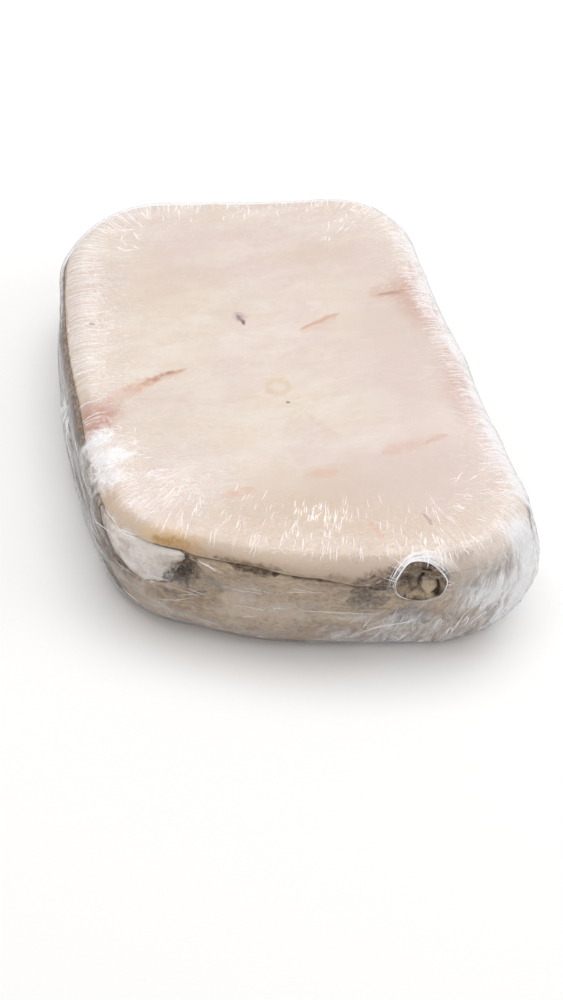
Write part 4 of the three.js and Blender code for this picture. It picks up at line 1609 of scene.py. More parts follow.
    def belly_flap(self) -> bpy.types.Object:
        """Makes the belly flap as a thick, rounded patch on the near left corner.

        Returns:
            The flap's object.
        """
        form, flap = self.form, self.flap
        share = np.linspace(0, 1, flap.columns)[:, None]
        rise = (0.5 - 0.5 * np.cos(np.pi * np.linspace(0, 1, flap.rows)))[None, :]
        place = flap.start + (flap.end - flap.start) * share
        low, high = form.eased(flap.foot, place), form.eased(flap.head, place)
        up = low + (high - low) * rise
        along = np.broadcast_to(place, up.shape)
        round_off = flap.rounding * (1 - np.sqrt(np.sin(np.pi * np.clip(rise, 0.0, 1.0))))
        spots = np.stack([along, up, np.zeros_like(up)], -1)
        folds = self.lattice.at(spots, (14, 5, 5)) * 0.45 + self.lattice.at(spots, (5, 3, 5)) * 0.2
        crest = 0.5 * np.exp(-(((rise - 0.86) / 0.09) ** 2))
        body = flap.full_share((0.02, 0.98), share, rise)
        outer = -flap.sunk - round_off + np.minimum(folds * body + crest * body, 0.42)
        full = flap.full_share(flap.fullness, share, rise)
        inner = -flap.sunk - flap.edge - flap.belly * full
        outside = form.fish_point(along, up, outer).reshape(-1, 3)
        inside = form.fish_point(along, up, inner).reshape(-1, 3)
        faces = sheet_faces(flap.columns, flap.rows, len(outside))
        wall = np.tile(np.stack([along, up], -1).reshape(-1, 2), (2, 1))
        return self.maker.build("belly_flap_flesh", np.concatenate([outside, inside]), faces, wall)

    def vent_flesh(self) -> bpy.types.Object:
        """Makes the bare flesh in the vent: a dish with a cleft and the tip of a fillet.

        Returns:
            The dish's object.
        """
        form, vent = self.form, self.vent
        rings, count = 34, 84
        share = np.linspace(0, 1, rings + 1)[1:, None]
        angle = (2 * np.pi * np.arange(count) / count)[None, :]
        across = share * np.cos(angle) * vent.hollow_width
        climb = share * np.sin(angle) * vent.hollow_height
        across = np.concatenate([[0.0], across.ravel()])
        climb = np.concatenate([[0.0], climb.ravel()])
        reach = np.concatenate([[0.0], np.repeat(share[:, 0], count)])
        depth, deep, tip = self._vent_relief(across, climb, reach)
        along, up = vent.along + across, vent.up + climb
        outside = form.fish_point(along, up, -depth)
        inside = form.fish_point(along, up, -depth - vent.skin)
        size = len(outside)
        faces = []
        for start in (0, size):
            quads = grid_faces(rings, count) + start + 1
            fan = pole_faces(start, start + 1, count, outward=True)
            made = fan + [tuple(face[::-1]) for face in quads.tolist()]
            faces += made if start == 0 else [face[::-1] for face in made]
        last = 1 + (rings - 1) * count
        for column in range(count):
            here, after = last + column, last + (column + 1) % count
            faces.append((here + size, after + size, after, here))
        wall = np.tile(np.c_[along, up], (2, 1))
        piece = self.maker.build("vent_flesh", np.concatenate([outside, inside]), faces, wall)
        # The painted shade of the cleft, the hollows and the groove below the tip.
        give_values(piece, "deep", np.tile(deep, 2))
        give_values(piece, "tip", np.tile(eased_step(tip, 0.0, 0.5), 2))
        return piece

    def _vent_relief(
        self, across: Array, climb: Array, reach: Array
    ) -> tuple[Array, Array, Array]:
        """Shapes the bare flesh in the vent.

        Args:
            across: Places across the vent, from its middle.
            climb: Places up the vent, from its middle.
            reach: Shares of the way out to the hollow's edge.

        Returns:
            The depths, how much painted shade darkens the cleft and hollows, and 1 at the fillet's
            tip.
        """
        vent = self.vent
        spots = np.stack([across, climb, np.zeros_like(climb)], -1)
        sway = 0.7 * self.lattice.at(spots + 40, 3.5)
        line = across - 0.2 - 0.09 * climb + sway
        cleft = np.exp(-((line / 0.8) ** 2)) * soft_spot((climb - 2.5) / 11)
        lobe = np.exp(-(((across - 3.4) / 1.5) ** 2 + ((climb - 6.5) / 2.2) ** 2))
        side = np.exp(-(((across + 6.3) / 2.6) ** 2 + ((climb + 0.5) / 2.0) ** 2))
        tip_reach = np.hypot((across - 4.2) / 4.2, (climb + 5.0) / 4.4)
        tip_reach = tip_reach + 0.16 * self.lattice.at(spots + 7, 2.6)
        tip = np.clip(1 - tip_reach**2, 0, 1) ** 0.8
        moat = np.exp(-(((tip_reach - 1.15) / 0.14) ** 2)) * eased_step(across - climb, 6, 11)
        lumps = self.lattice.at(spots, 4.2) * 0.8 + self.lattice.at(spots + 9, 1.7) * 0.4
        dish = vent.hollow_depth * np.sqrt(np.clip(1 - reach**2, 0, 1))
        body = np.clip(1.4 * (1 - reach**3), 0, 1)
        depth = dish + body * (lumps + 1.8 * cleft + side + lobe + moat) - 1.5 * tip
        # How dark the flesh is: painted shade in the cleft, the hollows and the groove below the tip.
        deep = np.clip(cleft + side * 0.7 + lobe * 0.7 + moat, 0, 1) * (1 - tip)
        return np.maximum(depth, 0.05), deep, tip


def sheet_faces(columns: int, rows: int, size: int) -> list[tuple[int, ...]]:
    """Lists the faces of a thick sheet: two grids of points and the edges between them.

    Args:
        columns: The number of columns in each grid.
        rows: The number of points in each column.
        size: The number of points in the first grid.

    Returns:
        The faces, turned outwards.
    """
    faces = []
    for column in range(columns - 1):
        for row in range(rows - 1):
            a, b = column * rows + row, (column + 1) * rows + row
            faces.append((a, b, b + 1, a + 1))
            faces.append((size + a + 1, size + b + 1, size + b, size + a))
        a, b = column * rows, (column + 1) * rows
        faces.append((size + a, size + b, b, a))
        c, d = a + rows - 1, b + rows - 1
        faces.append((c, d, size + d, size + c))
    for row in range(rows - 1):
        b = (columns - 1) * rows + row
        faces.append((row, row + 1, size + row + 1, size + row))
        faces.append((size + b, size + b + 1, b + 1, b))
    return faces


@dataclass(frozen=True)
class FoldZone:
    """A stretch of loose film: how many folds lie on it and how they run."""

    along: Pair
    up: Pair
    count: int
    length: Pair
    heading: float
    spread: float
    curl: float
    radius: Pair
    rise: Pair = (0, 0)

    def walk(self, draw: np.random.Generator, step: float) -> tuple[Array, Array]:
        """Walks one fold over the film.

        Args:
            draw: The source of chance.
            step: The length of a step.

        Returns:
            The fold's places along and up.
        """
        count = max(int(draw.uniform(*self.length) / step), 5)
        turn = self.heading + draw.normal(0, self.spread)
        turns = turn + np.cumsum(draw.normal(0, self.curl, count))
        places = np.cumsum(step * np.exp(1j * np.radians(turns)))
        places = places - places[count // 2]
        return draw.uniform(*self.along) + places.real, draw.uniform(*self.up) + places.imag


@dataclass
class Pleats:
    """The broad soft folds of the film, as rows of low mounds."""

    form: SlabForm
    step: float = 1.6
    reach: float = 8
    seed: int = 77
    zones: tuple[FoldZone, ...] = (
        FoldZone((8, 66), (4, 40), 40, (16, 40), 58, 12, 3, (1.1, 2.6), (0.3, 0.95)),
        FoldZone((44, 112), (3, 44), 52, (14, 34), 86, 8, 3, (1.0, 2.4), (0.25, 0.8)),
        FoldZone((-42, 12), (2, 22), 30, (10, 30), 20, 18, 3, (1.0, 2.2), (0.25, 0.8)),
        FoldZone((-150, -40), (3, 36), 26, (14, 40), 3, 8, 1, (0.9, 2.0), (0.12, 0.3)),
        FoldZone((-345, -145), (3, 45), 95, (20, 60), 2, 6, 1.5, (0.9, 2.2), (0.25, 0.7)),
        FoldZone((110, 300), (3, 44), 80, (14, 40), 24, 26, 3, (1.0, 2.4), (0.25, 0.9)),
        FoldZone((300, 402), (3, 44), 44, (14, 40), 0, 22, 3, (1.0, 2.2), (0.2, 0.6)),
    )

    def __post_init__(self) -> None:
        """Walks every fold."""
        draw = np.random.default_rng(self.seed)
        rows = []
        for zone in self.zones:
            for _ in range(zone.count):
                along, up = zone.walk(draw, self.step)
                full = np.sin(np.pi * np.linspace(0.04, 0.96, len(along))) ** 0.5
                width = draw.uniform(*zone.radius) * (0.5 + 0.5 * full)
                rows.append(np.stack([along, up, width, draw.uniform(*zone.rise) * full], -1))
        self.mounds = np.concatenate(rows)

    def rise(self, along: Array, up: Array) -> Array:
        """Gives how far the folds stand off the film at places on the wall.

        Args:
            along: Places along the wall.
            up: Heights on the wall.

        Returns:
            The heights.
        """
        result = np.zeros(along.size)
        flat, climb = along.ravel(), up.ravel()
        for part in np.array_split(np.argsort(flat), max(1, along.size // 1000)):
            low, high = flat[part].min(), flat[part].max()
            away = np.abs(self.form.way_along((low + high) / 2, self.mounds[:, 0]))
            close = self.mounds[away < (high - low) / 2 + self.reach]
            if not len(close):
                continue
            across = self.form.way_along(close[None, :, 0], flat[part][:, None])
            square = across**2 + (climb[part][:, None] - close[None, :, 1]) ** 2
            mound = np.exp(-np.minimum(square / close[None, :, 2] ** 2, 30)) * close[None, :, 3]
            result[part] = mound.max(1)
        return result.reshape(along.shape)


@dataclass
class FilmWrap:
    """The clear film round the slab, with its hole at the vent."""

    form: SlabForm
    maker: MeshMaker
    vent: Vent
    thickness: float = 0.15
    coarse_step: float = 2.2
    fine_step: float = 0.9
    lid_rings: int = 22
    wrinkle: float = 0.3
    fold: float = 0.3
    most: float = 1.9
    seed: int = 23
    frost_middle: Pair = (-84, -46)
    frost_radii: Pair = (16, 26)
    milky_spots: tuple[tuple[float, Pair, Pair], ...] = (
        (1.25, (34, 31), (30, 24)),
        (0.8, (-136, 46.4), (18, 3.6)),
    )
    bare_spots: tuple[tuple[float, Pair, Pair], ...] = (
        (0.95, (-102, 36), (19, 19)),
        (0.7, (-19, 38), (17, 17)),
    )

    def __post_init__(self) -> None:
        """Lays out the columns, walks the pleats and draws the noise."""
        stretches = ((-45.0, 100.0), (-345.0, -150.0))
        self.columns = self.form.columns(self.coarse_step, self.fine_step, stretches)
        self.lattice = Lattice(self.seed)
        self.pleats = Pleats(self.form)

    def corner_zone(self, along: Array, up: Array) -> Array:
        """Gives 1 where the film is loose at the near right corner, fading to 0 round it.

        Args:
            along: Places along the wall.
            up: Heights on the wall.

        Returns:
            The shares.
        """
        away = self.form.way_along(52, along)
        across = soft_spot(away / np.where(away < 0, 46, 60))
        return across * (1 - eased_step(up, 34, 50))

    def below_vent(self, along: Array, up: Array) -> Array:
        """Gives 1 in the bunched film below the vent."""
        across = soft_spot(self.form.way_along(-4, along) / 42)
        return across * (1 - eased_step(up, 16, 31))

    def lug_zone(self, along: Array, up: Array) -> Array:
        """Gives 1 where the seam's end bunches the film on the left side."""
        across = soft_spot(self.form.way_along(SEAM_END[0], along) / 26)
        return across * soft_spot((up - 33) / 24)

    def fold_rise(self, along: Array, up: Array) -> Array:
        """Gives how far the broad folds stand off, none of them on the top."""
        return self.pleats.rise(along, up) * (1 - eased_step(up, 44, 54))

    def relief(self, along: Array, up: Array) -> Array:
        """Gives how far the film stands off its tight form, in wrinkles and folds.

        Args:
            along: Places along the wall.
            up: Heights on the wall.

        Returns:
            The distances.
        """
        turn = 2 * np.pi * along / self.form.girth
        ring = self.form.girth / (2 * np.pi)
        spots = np.stack([np.cos(turn) * ring, np.sin(turn) * ring, up], -1)
        long = self.lattice.at(spots, (16, 16, 3.4))
        lean = np.stack([spots[..., 0], spots[..., 1] + up * 0.8, up * 1.5], -1)
        folds = 1 - np.abs(self.lattice.at(lean, (5.5, 5.5, 9))) * 2.6
        wall = 1 - eased_step(up, 34, 50)
        flat = eased_step(up, self.form.film_outside + 0.5, self.form.film_outside + 7)
        loose = self.corner_zone(along, up) + 0.45 * self.below_vent(along, up)
        loose = np.minimum(loose + 0.7 * self.lug_zone(along, up), 1)
        clear = np.clip(self.vent.reach(self.form, along, up, 16, 15) - 0.8, 0, 1)
        total = self.wrinkle * long * wall + self.fold * np.maximum(folds, -0.15) * loose
        total = total + self.fold_rise(along, up)
        return np.clip(total * clear, -0.25, self.most) * flat

    def haze(self, along: Array, up: Array, plan: Array) -> Array:
        """Gives how milky the film is.

        Args:
            along: Places along the wall.
            up: Places up the wall.
            plan: Places in the plan.

        Returns:
            Values from 0 for clear film to 1.
        """
        end = self.form.roll_start(along) + self.form.roll_length
        wall = 0.26 * (1 - eased_step(up, 36, 46))
        way = self.form.way_along(50, along)
        corner = eased_step(way, -42, -6) * (1 - eased_step(way, 40, 130))
        corner = 1.15 * corner * (1 - eased_step(up, 32, 48))
        vent = 0.8 * self.below_vent(along, up)
        band = 1.4 * soft_spot((way - 6) / 24) * (1 - eased_step(up, 48, 60))
        edge, frost = self._right_rim(way, up), self._frost(plan, up)
        veil = 0.3 * soft_spot(np.hypot((plan[:, 0] + 60) / 42, (plan[:, 1] + 78) / 34))
        left = 0.16 * soft_spot(self.form.way_along(-230, along) / 90) * (1 - eased_step(up, 40, 50))
        side = soft_spot(self.form.way_along(-280, along) / 130)
        rim = (0.16 + 0.34 * side) * soft_spot((up - end - 4 * side) / 20)
        parts = [wall, corner, vent, band, edge, frost, veil, left, rim]
        for share, place, radii in self.milky_spots:
            parts.append(share * self._near(along, up, place, radii))
        milk = np.stack(parts).max(0) + 0.02
        bare = 1
        for share, place, radii in self.bare_spots:
            bare = bare - share * self._near(along, up, place, radii)
        return np.clip(milk * bare, 0, 1.4)

    @staticmethod
    def _right_rim(way: Array, up: Array) -> Array:
        """Gives how milky the film is along the right side's rim.

        Args:
            way: The way along the wall from the near right corner.
            up: Heights on the wall.

        Returns:
            The values.
        """
        edge = 1.2 * eased_step(way, 6, 30) * (1 - eased_step(way, 230, 300))
        edge = edge * (1 - 0.45 * eased_step(up, 50, 57)) * (1 - eased_step(up, 55, 60))
        lower = eased_step(way, 40, 90) * (1 - eased_step(up, 26, 44))
        return edge * (1 - 0.78 * lower)

    def _frost(self, plan: Array, up: Array) -> Array:
        """Gives how frosty the film is at the patch on the left rim.

        Args:
            plan: Places in the plan.
            up: Heights on the wall.

        Returns:
            The values.
        """
        spots = np.c_[plan, np.zeros(len(plan))]
        ragged = 0.4 * self.lattice.at(spots, 9) + 0.2 * self.lattice.at(spots + 50, 3.5)
        x, y = (plan - np.array(self.frost_middle)).T / np.array(self.frost_radii)[:, None]
        share = 1 - eased_step(np.hypot(x, y) + ragged, 0.3, 1.2)
        return 1.25 * share * eased_step(up, 37, 46)

    def _near(self, along: Array, up: Array, place: Pair, radii: Pair) -> Array:
        """Gives 1 at a place on the wall, fading to 0 at an oval round it."""
        across = self.form.way_along(place[0], along) / radii[0]
        return soft_spot(np.hypot(across, (up - place[1]) / radii[1]))

    def _rings(self) -> tuple[Array, Array, list[float]]:
        """Lays out the wall's places ring by ring, and the shares of the lid's rings.

        Returns:
            The places along, the places up and the shares.
        """
        form = self.form
        foot = form.film_outside + form.bottom_roll
        rolled = [form.film_outside + form.bottom_roll * (1 - math.sin(math.radians(a)))
                  for a in (90, 75, 60, 45, 30, 15)]
        head = form.roll_start(self.columns)
        ups = [np.full(len(self.columns), value) for value in rolled]
        ups += [foot + (head - foot) * share for share in np.linspace(0, 0.98, 38)]
        ups += [head + form.roll_length * share for share in np.linspace(0, 1, 13)]
        up = np.stack(ups)
        along = np.broadcast_to(self.columns, up.shape).copy()
        lids = [1 - (step / self.lid_rings) ** 0.9 for step in range(1, self.lid_rings)]
        return along, up, lids

    def _sheet(
        self, along: Array, up: Array, relief: Array, lids: list[float], offset: float
    ) -> Skin:
        """Makes one face of the film as rings, at an offset from the fish.

        Args:
            along: Places along the wall.
            up: Heights on the wall.
            relief: The film's own relief there.
            lids: The lid's ring sizes.
            offset: The offset.

        Returns:
            The rings.
        """
        form = self.form
        skin = Skin()
        first = form.film_point(along[0], up[0], offset + relief[0])
        for share in (0.25, 0.5, 0.75):
            plan = form.middle + (first[:, :2] - form.middle) * share
            skin.add(np.c_[plan, first[:, 2]], along[0], up[0] - 80 * (1 - share))
        for ring in range(len(up)):
            points = form.film_point(along[ring], up[ring], offset + relief[ring])
            skin.add(points, along[ring], up[ring])
        rim = len(skin.points) - 1
        for share in lids:
            plan = skin.shrunk(rim, share, form.middle)
            height = form.top_height(plan[:, 0], plan[:, 1]) + offset
            skin.add(np.c_[plan, height], along[-1], up[-1] + 85 * (1 - share))
        return skin

    def build(self) -> bpy.types.Object:
        """Makes the film as a thin closed shell, open at the vent.

        Returns:
            The film's object.
        """
        form, vent = self.form, self.vent
        along, up, lids = self._rings()
        count = len(self.columns)
        reach = vent.reach(form, along, up, vent.half_width, vent.half_height)
        floor_rings = 3
        rings = floor_rings + len(up) + len(lids)
        quads = grid_faces(rings, count)
        everywhere = np.full((rings, count), 9.0)
        everywhere[floor_rings : floor_rings + len(up)] = reach
        inside = everywhere.ravel() < 1
        kept = quads[~inside[quads].any(1)]
        dropped = np.unique(quads[inside[quads].any(1)])
        border = np.zeros(rings * count, bool)
        border[dropped] = True
        unused = np.ones(rings * count, bool)
        unused[kept.ravel()] = False
        border &= ~unused
        moved = border.reshape(rings, count)[floor_rings : floor_rings + len(up)]
        scale = np.where(moved, reach, 1)
        along = vent.along + form.way_along(vent.along, along) / scale
        up = vent.up + (up - vent.up) / scale
        relief = self.relief(along, up)
        outer = self._sheet(along, up, relief, lids, form.film_outside)
        inner = self._sheet(along, up, relief, lids, form.film_outside - self.thickness)
        return self._shell(outer, inner, kept, unused)

    def _shell(self, outer: Skin, inner: Skin, kept: Array, unused: Array) -> bpy.types.Object:
        """Joins the film's two faces round the vent and gives them their values.

        Args:
            outer: The outer face's rings.
            inner: The inner face's rings.
            kept: The quads outside the vent.
            unused: Which points no quad uses.

        Returns:
            The film's object.
        """
        form = self.form
        count = len(self.columns)
        number = np.cumsum(~unused) - 1
        sides = []
        x, y = form.middle
        for skin in (outer, inner):
            low, high = skin.points[0][0, 2], skin.points[-1][:, 2].mean()
            body = np.concatenate(skin.points)[~unused]
            sides.append(np.concatenate([body, [[x, y, low], [x, y, high]]]))
        body_size = len(sides[0]) - 2
        quads = number[kept]
        faces = []
        for start, turned in ((0, False), (body_size + 2, True)):
            made = (quads + start).tolist()
            faces += [tuple(face[::-1]) if turned else tuple(face) for face in made]
            low = pole_faces(start + body_size, start, count, outward=turned)
            top = start + body_size - count
            faces += low + pole_faces(start + body_size + 1, top, count, outward=not turned)
        faces += self._vent_edge(quads, body_size + 2, count)
        along = np.concatenate(outer.along)[~unused]
        up = np.concatenate(outer.up)[~unused]
        wall = np.concatenate([np.c_[along, up], [[0, -80], [0, 140]]])
        piece = self.maker.build("film_wrap", np.concatenate(sides), faces, np.tile(wall, (2, 1)))
        plan = points_of(piece)[:, :2] / MM - np.array(form.shift)
        haze = self.haze(np.tile(wall[:, 0], 2), np.tile(wall[:, 1], 2), plan)
        give_values(piece, "haze", haze)
        give_values(piece, "inside", np.repeat([0.0, 1.0], len(sides[0])))
        fold = self.fold_rise(wall[:, 0], wall[:, 1]) * (wall[:, 1] > form.film_outside + 1)
        way = form.way_along(50, wall[:, 0])
        slant = eased_step(way, -85, -48) * (1 - eased_step(way, 90, 130))
        fold = fold * (1 - 0.6 * slant)
        give_values(piece, "fold", np.tile(fold, 2))
        give_values(piece, "slant", np.tile(slant * (wall[:, 1] < 60), 2))
        end = form.roll_start(wall[:, 0]) + form.roll_length
        rise = (wall[:, 1] - end + 6) / 30
        give_values(piece, "tuck", np.tile(soft_spot(rise) * (rise > -1), 2))
        return piece

    @staticmethod
    def _vent_edge(quads: Array, start: int, count: int) -> list[tuple[int, ...]]:
        """Lists the narrow faces that join the two sides of the film round the vent.

        Args:
            quads: The outer side's faces.
            start: The place of the inner side's first point.
            count: The number of points in a ring, to leave out the first and last rings' edges.

        Returns:
            The faces.
        """
        edges = {pair for face in quads.tolist() for pair in zip(face, face[1:] + face[:1])}
        low, high = quads.min() + count, quads.max() - count
        ring = [(a, b) for a, b in edges if (b, a) not in edges and low < a < high]
        return [(b, a, a + start, b + start) for a, b in ring]


class Recipe(Tree):
    """A Geometry Nodes tree with named inputs, which is run once on an object."""

    def __init__(self, name: str) -> None:
        """Starts a tree with its geometry input and output.

        Args:
            name: The tree's name.
        """
        group = bpy.data.node_groups.new(name, "GeometryNodeTree")
        for way in ("INPUT", "OUTPUT"):
            group.interface.new_socket("Geometry", in_out=way, socket_type="NodeSocketGeometry")
        super().__init__(group)
        self.entries = group.nodes.new("NodeGroupInput")

    def entry(self, name: str, kind: str = "NodeSocketFloat") -> Sock:
        """Adds a named input."""
        self.tree.interface.new_socket(name, in_out="INPUT", socket_type=kind)
        return Sock(self, self.entries.outputs[name])

    def source(self) -> Sock:
        """Gives the geometry that comes in."""
        return Sock(self, self.entries.outputs["Geometry"])

    def attribute(self, name: str, kind: str = "FLOAT") -> Sock:
        """Reads a named attribute."""
        return self.node("GeometryNodeInputNamedAttribute", {"data_type": kind}, {"Name": name})

    def random(self, low: float, high: float, seed: Sock) -> Sock:
        """Draws a number for each point."""
        inputs = {2: low, 3: high, 8: seed}
        return self.node("FunctionNodeRandomValue", {"data_type": "FLOAT"}, inputs, 1)

    def tube(self, line: Sock, sides: int | Sock, thick: Sock) -> Sock:
        """Makes closed tubes along curves.

        Args:
            line: The curves.
            sides: The number of a tube's sides.
            thick: The radius at each point.

        Returns:
            The tubes' mesh.
        """
        inputs = {"Resolution": sides, "Radius": 1.0}
        ring = self.node("GeometryNodeCurvePrimitiveCircle", {"mode": "RADIUS"}, inputs)
        inputs = {"Curve": line, "Profile Curve": ring, "Scale": thick, "Fill Caps": True}
        return self.node("GeometryNodeCurveToMesh", {}, inputs)

    def coated(self, made: Sock, coat: Sock) -> Sock:
        """Smooths the geometry and sets its material."""
        inputs = {0: self.node("GeometryNodeSetShadeSmooth", {}, {0: made}), "Material": coat}
        return self.node("GeometryNodeSetMaterial", {}, inputs)

    def run(self, piece: bpy.types.Object, last: Sock, values: dict[str, object]) -> None:
        """Runs the tree on an object and keeps the result as its plain mesh.

        Args:
            piece: The object that the tree starts from.
            last: The geometry that the tree ends in.
            values: The values of the named inputs.
        """
        end = self.tree.nodes.new("NodeGroupOutput")
        self.tree.links.new(last.socket, end.inputs[0])
        modifier = piece.modifiers.new(self.tree.name, "NODES")
        modifier.node_group = self.tree
        for item in self.tree.interface.items_tree:
            if item.in_out == "INPUT" and item.name in values:
                modifier[item.identifier] = values[item.name]
        graph = bpy.context.evaluated_depsgraph_get()
        made = bpy.data.meshes.new_from_object(piece.evaluated_get(graph), depsgraph=graph)
        piece.modifiers.clear()
        piece.data = made


@dataclass(frozen=True)
class GatherStretch:
    """The gathers at a place along the wall.

    Their length is in millimetres, the amount is the share of places that have one, and the start
    is how far over the top roll they begin.
    """

    along: float
    length: float
    amount: float
    start: float = 0.62


@dataclass
class RimGathers:
    """The gathers round the rim: narrow tucks in the film that lie across it."""

    form: SlabForm
    maker: MeshMaker
    spacing: float = 2.1
    thickness: float = 0.18
    shortest: float = 0.72
    share: float = 1.0
    lift: float = 0.0
    raised: float = 8.0
    waviness: float = 1.3
    seed: int = 5
    sides: int = 6
    points: int = 14
    stretches: tuple[GatherStretch, ...] = (
        GatherStretch(-420, 16, 0.7),
        GatherStretch(-385, 24, 0.95, 0.5),
        GatherStretch(-345, 28, 0.9, 0.5),
        GatherStretch(-250, 29, 0.9, 0.45),
        GatherStretch(-215, 24, 0.6, 0.4),
        GatherStretch(-190, 10, 0.4),
        GatherStretch(-165, 10, 0.2),
        GatherStretch(-135, 20, 0.5),
        GatherStretch(-100, 14, 0.15),
        GatherStretch(-40, 14, 0.2),
        GatherStretch(0, 14, 0.5),
        GatherStretch(30, 13, 0.6),
        GatherStretch(90, 15, 0.9),
        GatherStretch(260, 16, 0.9),
        GatherStretch(310, 18, 0.7),
        GatherStretch(350, 12, 0.5),
    )

    def path(self, name: str) -> bpy.types.Object:
        """Makes the line that the gathers start from, raised clear of the rim.

        Args:
            name: The object's name.

        Returns:
            The line, with its directions, lengths and amounts.
        """
        form = self.form
        along = np.arange(0, form.girth, 1.5)
        starts = tuple((stretch.along, stretch.start) for stretch in self.stretches)
        up = form.roll_start(along) + form.roll_length * form.eased(starts, along)
        points = form.film_point(along, up, form.film_outside + self.raised)
        _, outward = form.plan_at(along)
        count = len(along)
        edges = [(index, (index + 1) % count) for index in range(count)]
        mesh = bpy.data.meshes.new("rim_line")
        mesh.from_pydata(form.placed(points), edges, [])
        line = linked(name, mesh)
        lengths = tuple((stretch.along, stretch.length) for stretch in self.stretches)
        amounts = tuple((stretch.along, stretch.amount) for stretch in self.stretches)
        give_values(line, "inward", np.c_[-outward, np.zeros(count)])
        give_values(line, "reach", form.eased(lengths, along) * MM)
        give_values(line, "amount", form.eased(amounts, along))
        return line

    def _tuck(self, book: Recipe) -> Sock:
        """Makes one closed tuck, a metre long and tapered, with its height kept.

        Args:
            book: The tree.

        Returns:
            The tuck's geometry.
        """
        line = book.node("GeometryNodeCurvePrimitiveLine", {"mode": "POINTS"}, {
            "Start": (0.0, 0.0, 0.0),
            "End": (1.0, 0.0, 0.0),
        })
        points = {0: line, 2: self.points}
        line = book.node("GeometryNodeResampleCurve", {"mode": "COUNT"}, points)
        share = book.node("GeometryNodeSplineParameter")
        full = (1.0 - (2.0 * share - 1.0).power(2.0)).most(0.01).power(0.6)
        place = book.node("GeometryNodeInputPosition")
        height = book.node("ShaderNodeSeparateXYZ", {}, {0: place}, 2)
        tuck = book.tube(line, self.sides, full)
        inputs = {"Geometry": tuck, "Name": "height", "Value": height}
        return book.node("GeometryNodeStoreNamedAttribute", {}, inputs)

    def _laid(self, book: Recipe, tucks: Sock, film: Sock, thickness: Sock, lift: Sock) -> Sock:
        """Waves the tucks and lays them down on the film.

        Args:
            book: The tree.
            tucks: The tucks above the rim.
            film: The film's object.
            thickness: The tucks' thickness.
            lift: How far off the film they lie.

        Returns:
            The laid geometry.
        """
        place = book.node("GeometryNodeInputPosition")
        noise = book.node("ShaderNodeTexNoise", {}, {"Vector": place, "Scale": 160.0}, "Color")
        drift = book.vector("SUBTRACT", noise, (0.5, 0.5, 0.5))
        drift = book.vector("MULTIPLY", drift, (self.waviness * MM * 2,) * 2 + (0.0,))
        waved = book.node("GeometryNodeSetPosition", {}, {"Geometry": tucks, "Offset": drift})
        around = book.node("GeometryNodeObjectInfo", {}, {"Object": film}, "Geometry")
        nearest = book.node("GeometryNodeProximity", {"target_element": "FACES"}, {
            "Geometry": around,
            "Sample Position": place,
        })
        out = book.vector("NORMALIZE", book.vector("SUBTRACT", place, nearest))
        rise = book.attribute("height") * thickness + lift
        laid = book.vector("ADD", nearest, book.vector("SCALE", out, rise))
        return book.node("GeometryNodeSetPosition", {}, {"Geometry": waved, "Position": laid})

    def build(
        self, name: str, film: bpy.types.Object, finish: bpy.types.Material
    ) -> bpy.types.Object:
        """Makes the gathers.

        Args:
            name: Their object's name.
            film: The film that they lie on.
            finish: Their material.

        Returns:
            The gathers' object.
        """
        book = Recipe(name)
        target = book.entry("Film", "NodeSocketObject")
        spacing, thickness = book.entry("Spacing"), book.entry("Thickness")
        lift, seed = book.entry("Lift"), book.entry("Seed", "NodeSocketInt")
        coat = book.entry("Finish", "NodeSocketMaterial")
        path = book.node("GeometryNodeMeshToCurve", {}, {"Mesh": book.source()})
        inputs = {"Curve": path, "Length": spacing}
        path = book.node("GeometryNodeResampleCurve", {"mode": "LENGTH"}, inputs)
        inward = book.attribute("inward", "FLOAT_VECTOR")
        turn = book.node("FunctionNodeAlignRotationToVector", {"axis": "X"}, {"Vector": inward})
        lean = book.node("FunctionNodeAxisAngleToRotation", {}, {
            "Axis": (0.0, 0.0, 1.0),
            "Angle": book.random(-0.1, 0.1, seed + 1),
        })
        turn = book.node("FunctionNodeRotateRotation", {}, {0: turn, 1: lean})
        length = book.random(self.shortest, 1.0, seed + 2) * book.attribute("reach")
        width = book.random(0.55, 1.25, seed + 3) * thickness
        size = book.node("ShaderNodeCombineXYZ", {}, {0: length, 1: width, 2: width})
        chosen = book.node("FunctionNodeRandomValue", {"data_type": "BOOLEAN"}, {
            6: book.attribute("amount") * self.share,
            8: seed + 4,
        }, 3)
        placed = book.node("GeometryNodeInstanceOnPoints", {}, {
            "Points": path,
            "Selection": chosen,
            "Instance": self._tuck(book),
            "Rotation": turn,
            "Scale": size,
        })
        tucks = book.node("GeometryNodeRealizeInstances", {}, {0: placed})
        last = book.coated(self._laid(book, tucks, target, thickness, lift), coat)
        line = self.path(name)
        book.run(line, last, {
            "Film": film,
            "Spacing": self.spacing * MM,
            "Thickness": self.thickness * MM,
            "Lift": self.lift * MM,
            "Seed": self.seed,
            "Finish": finish,
        })
        return line


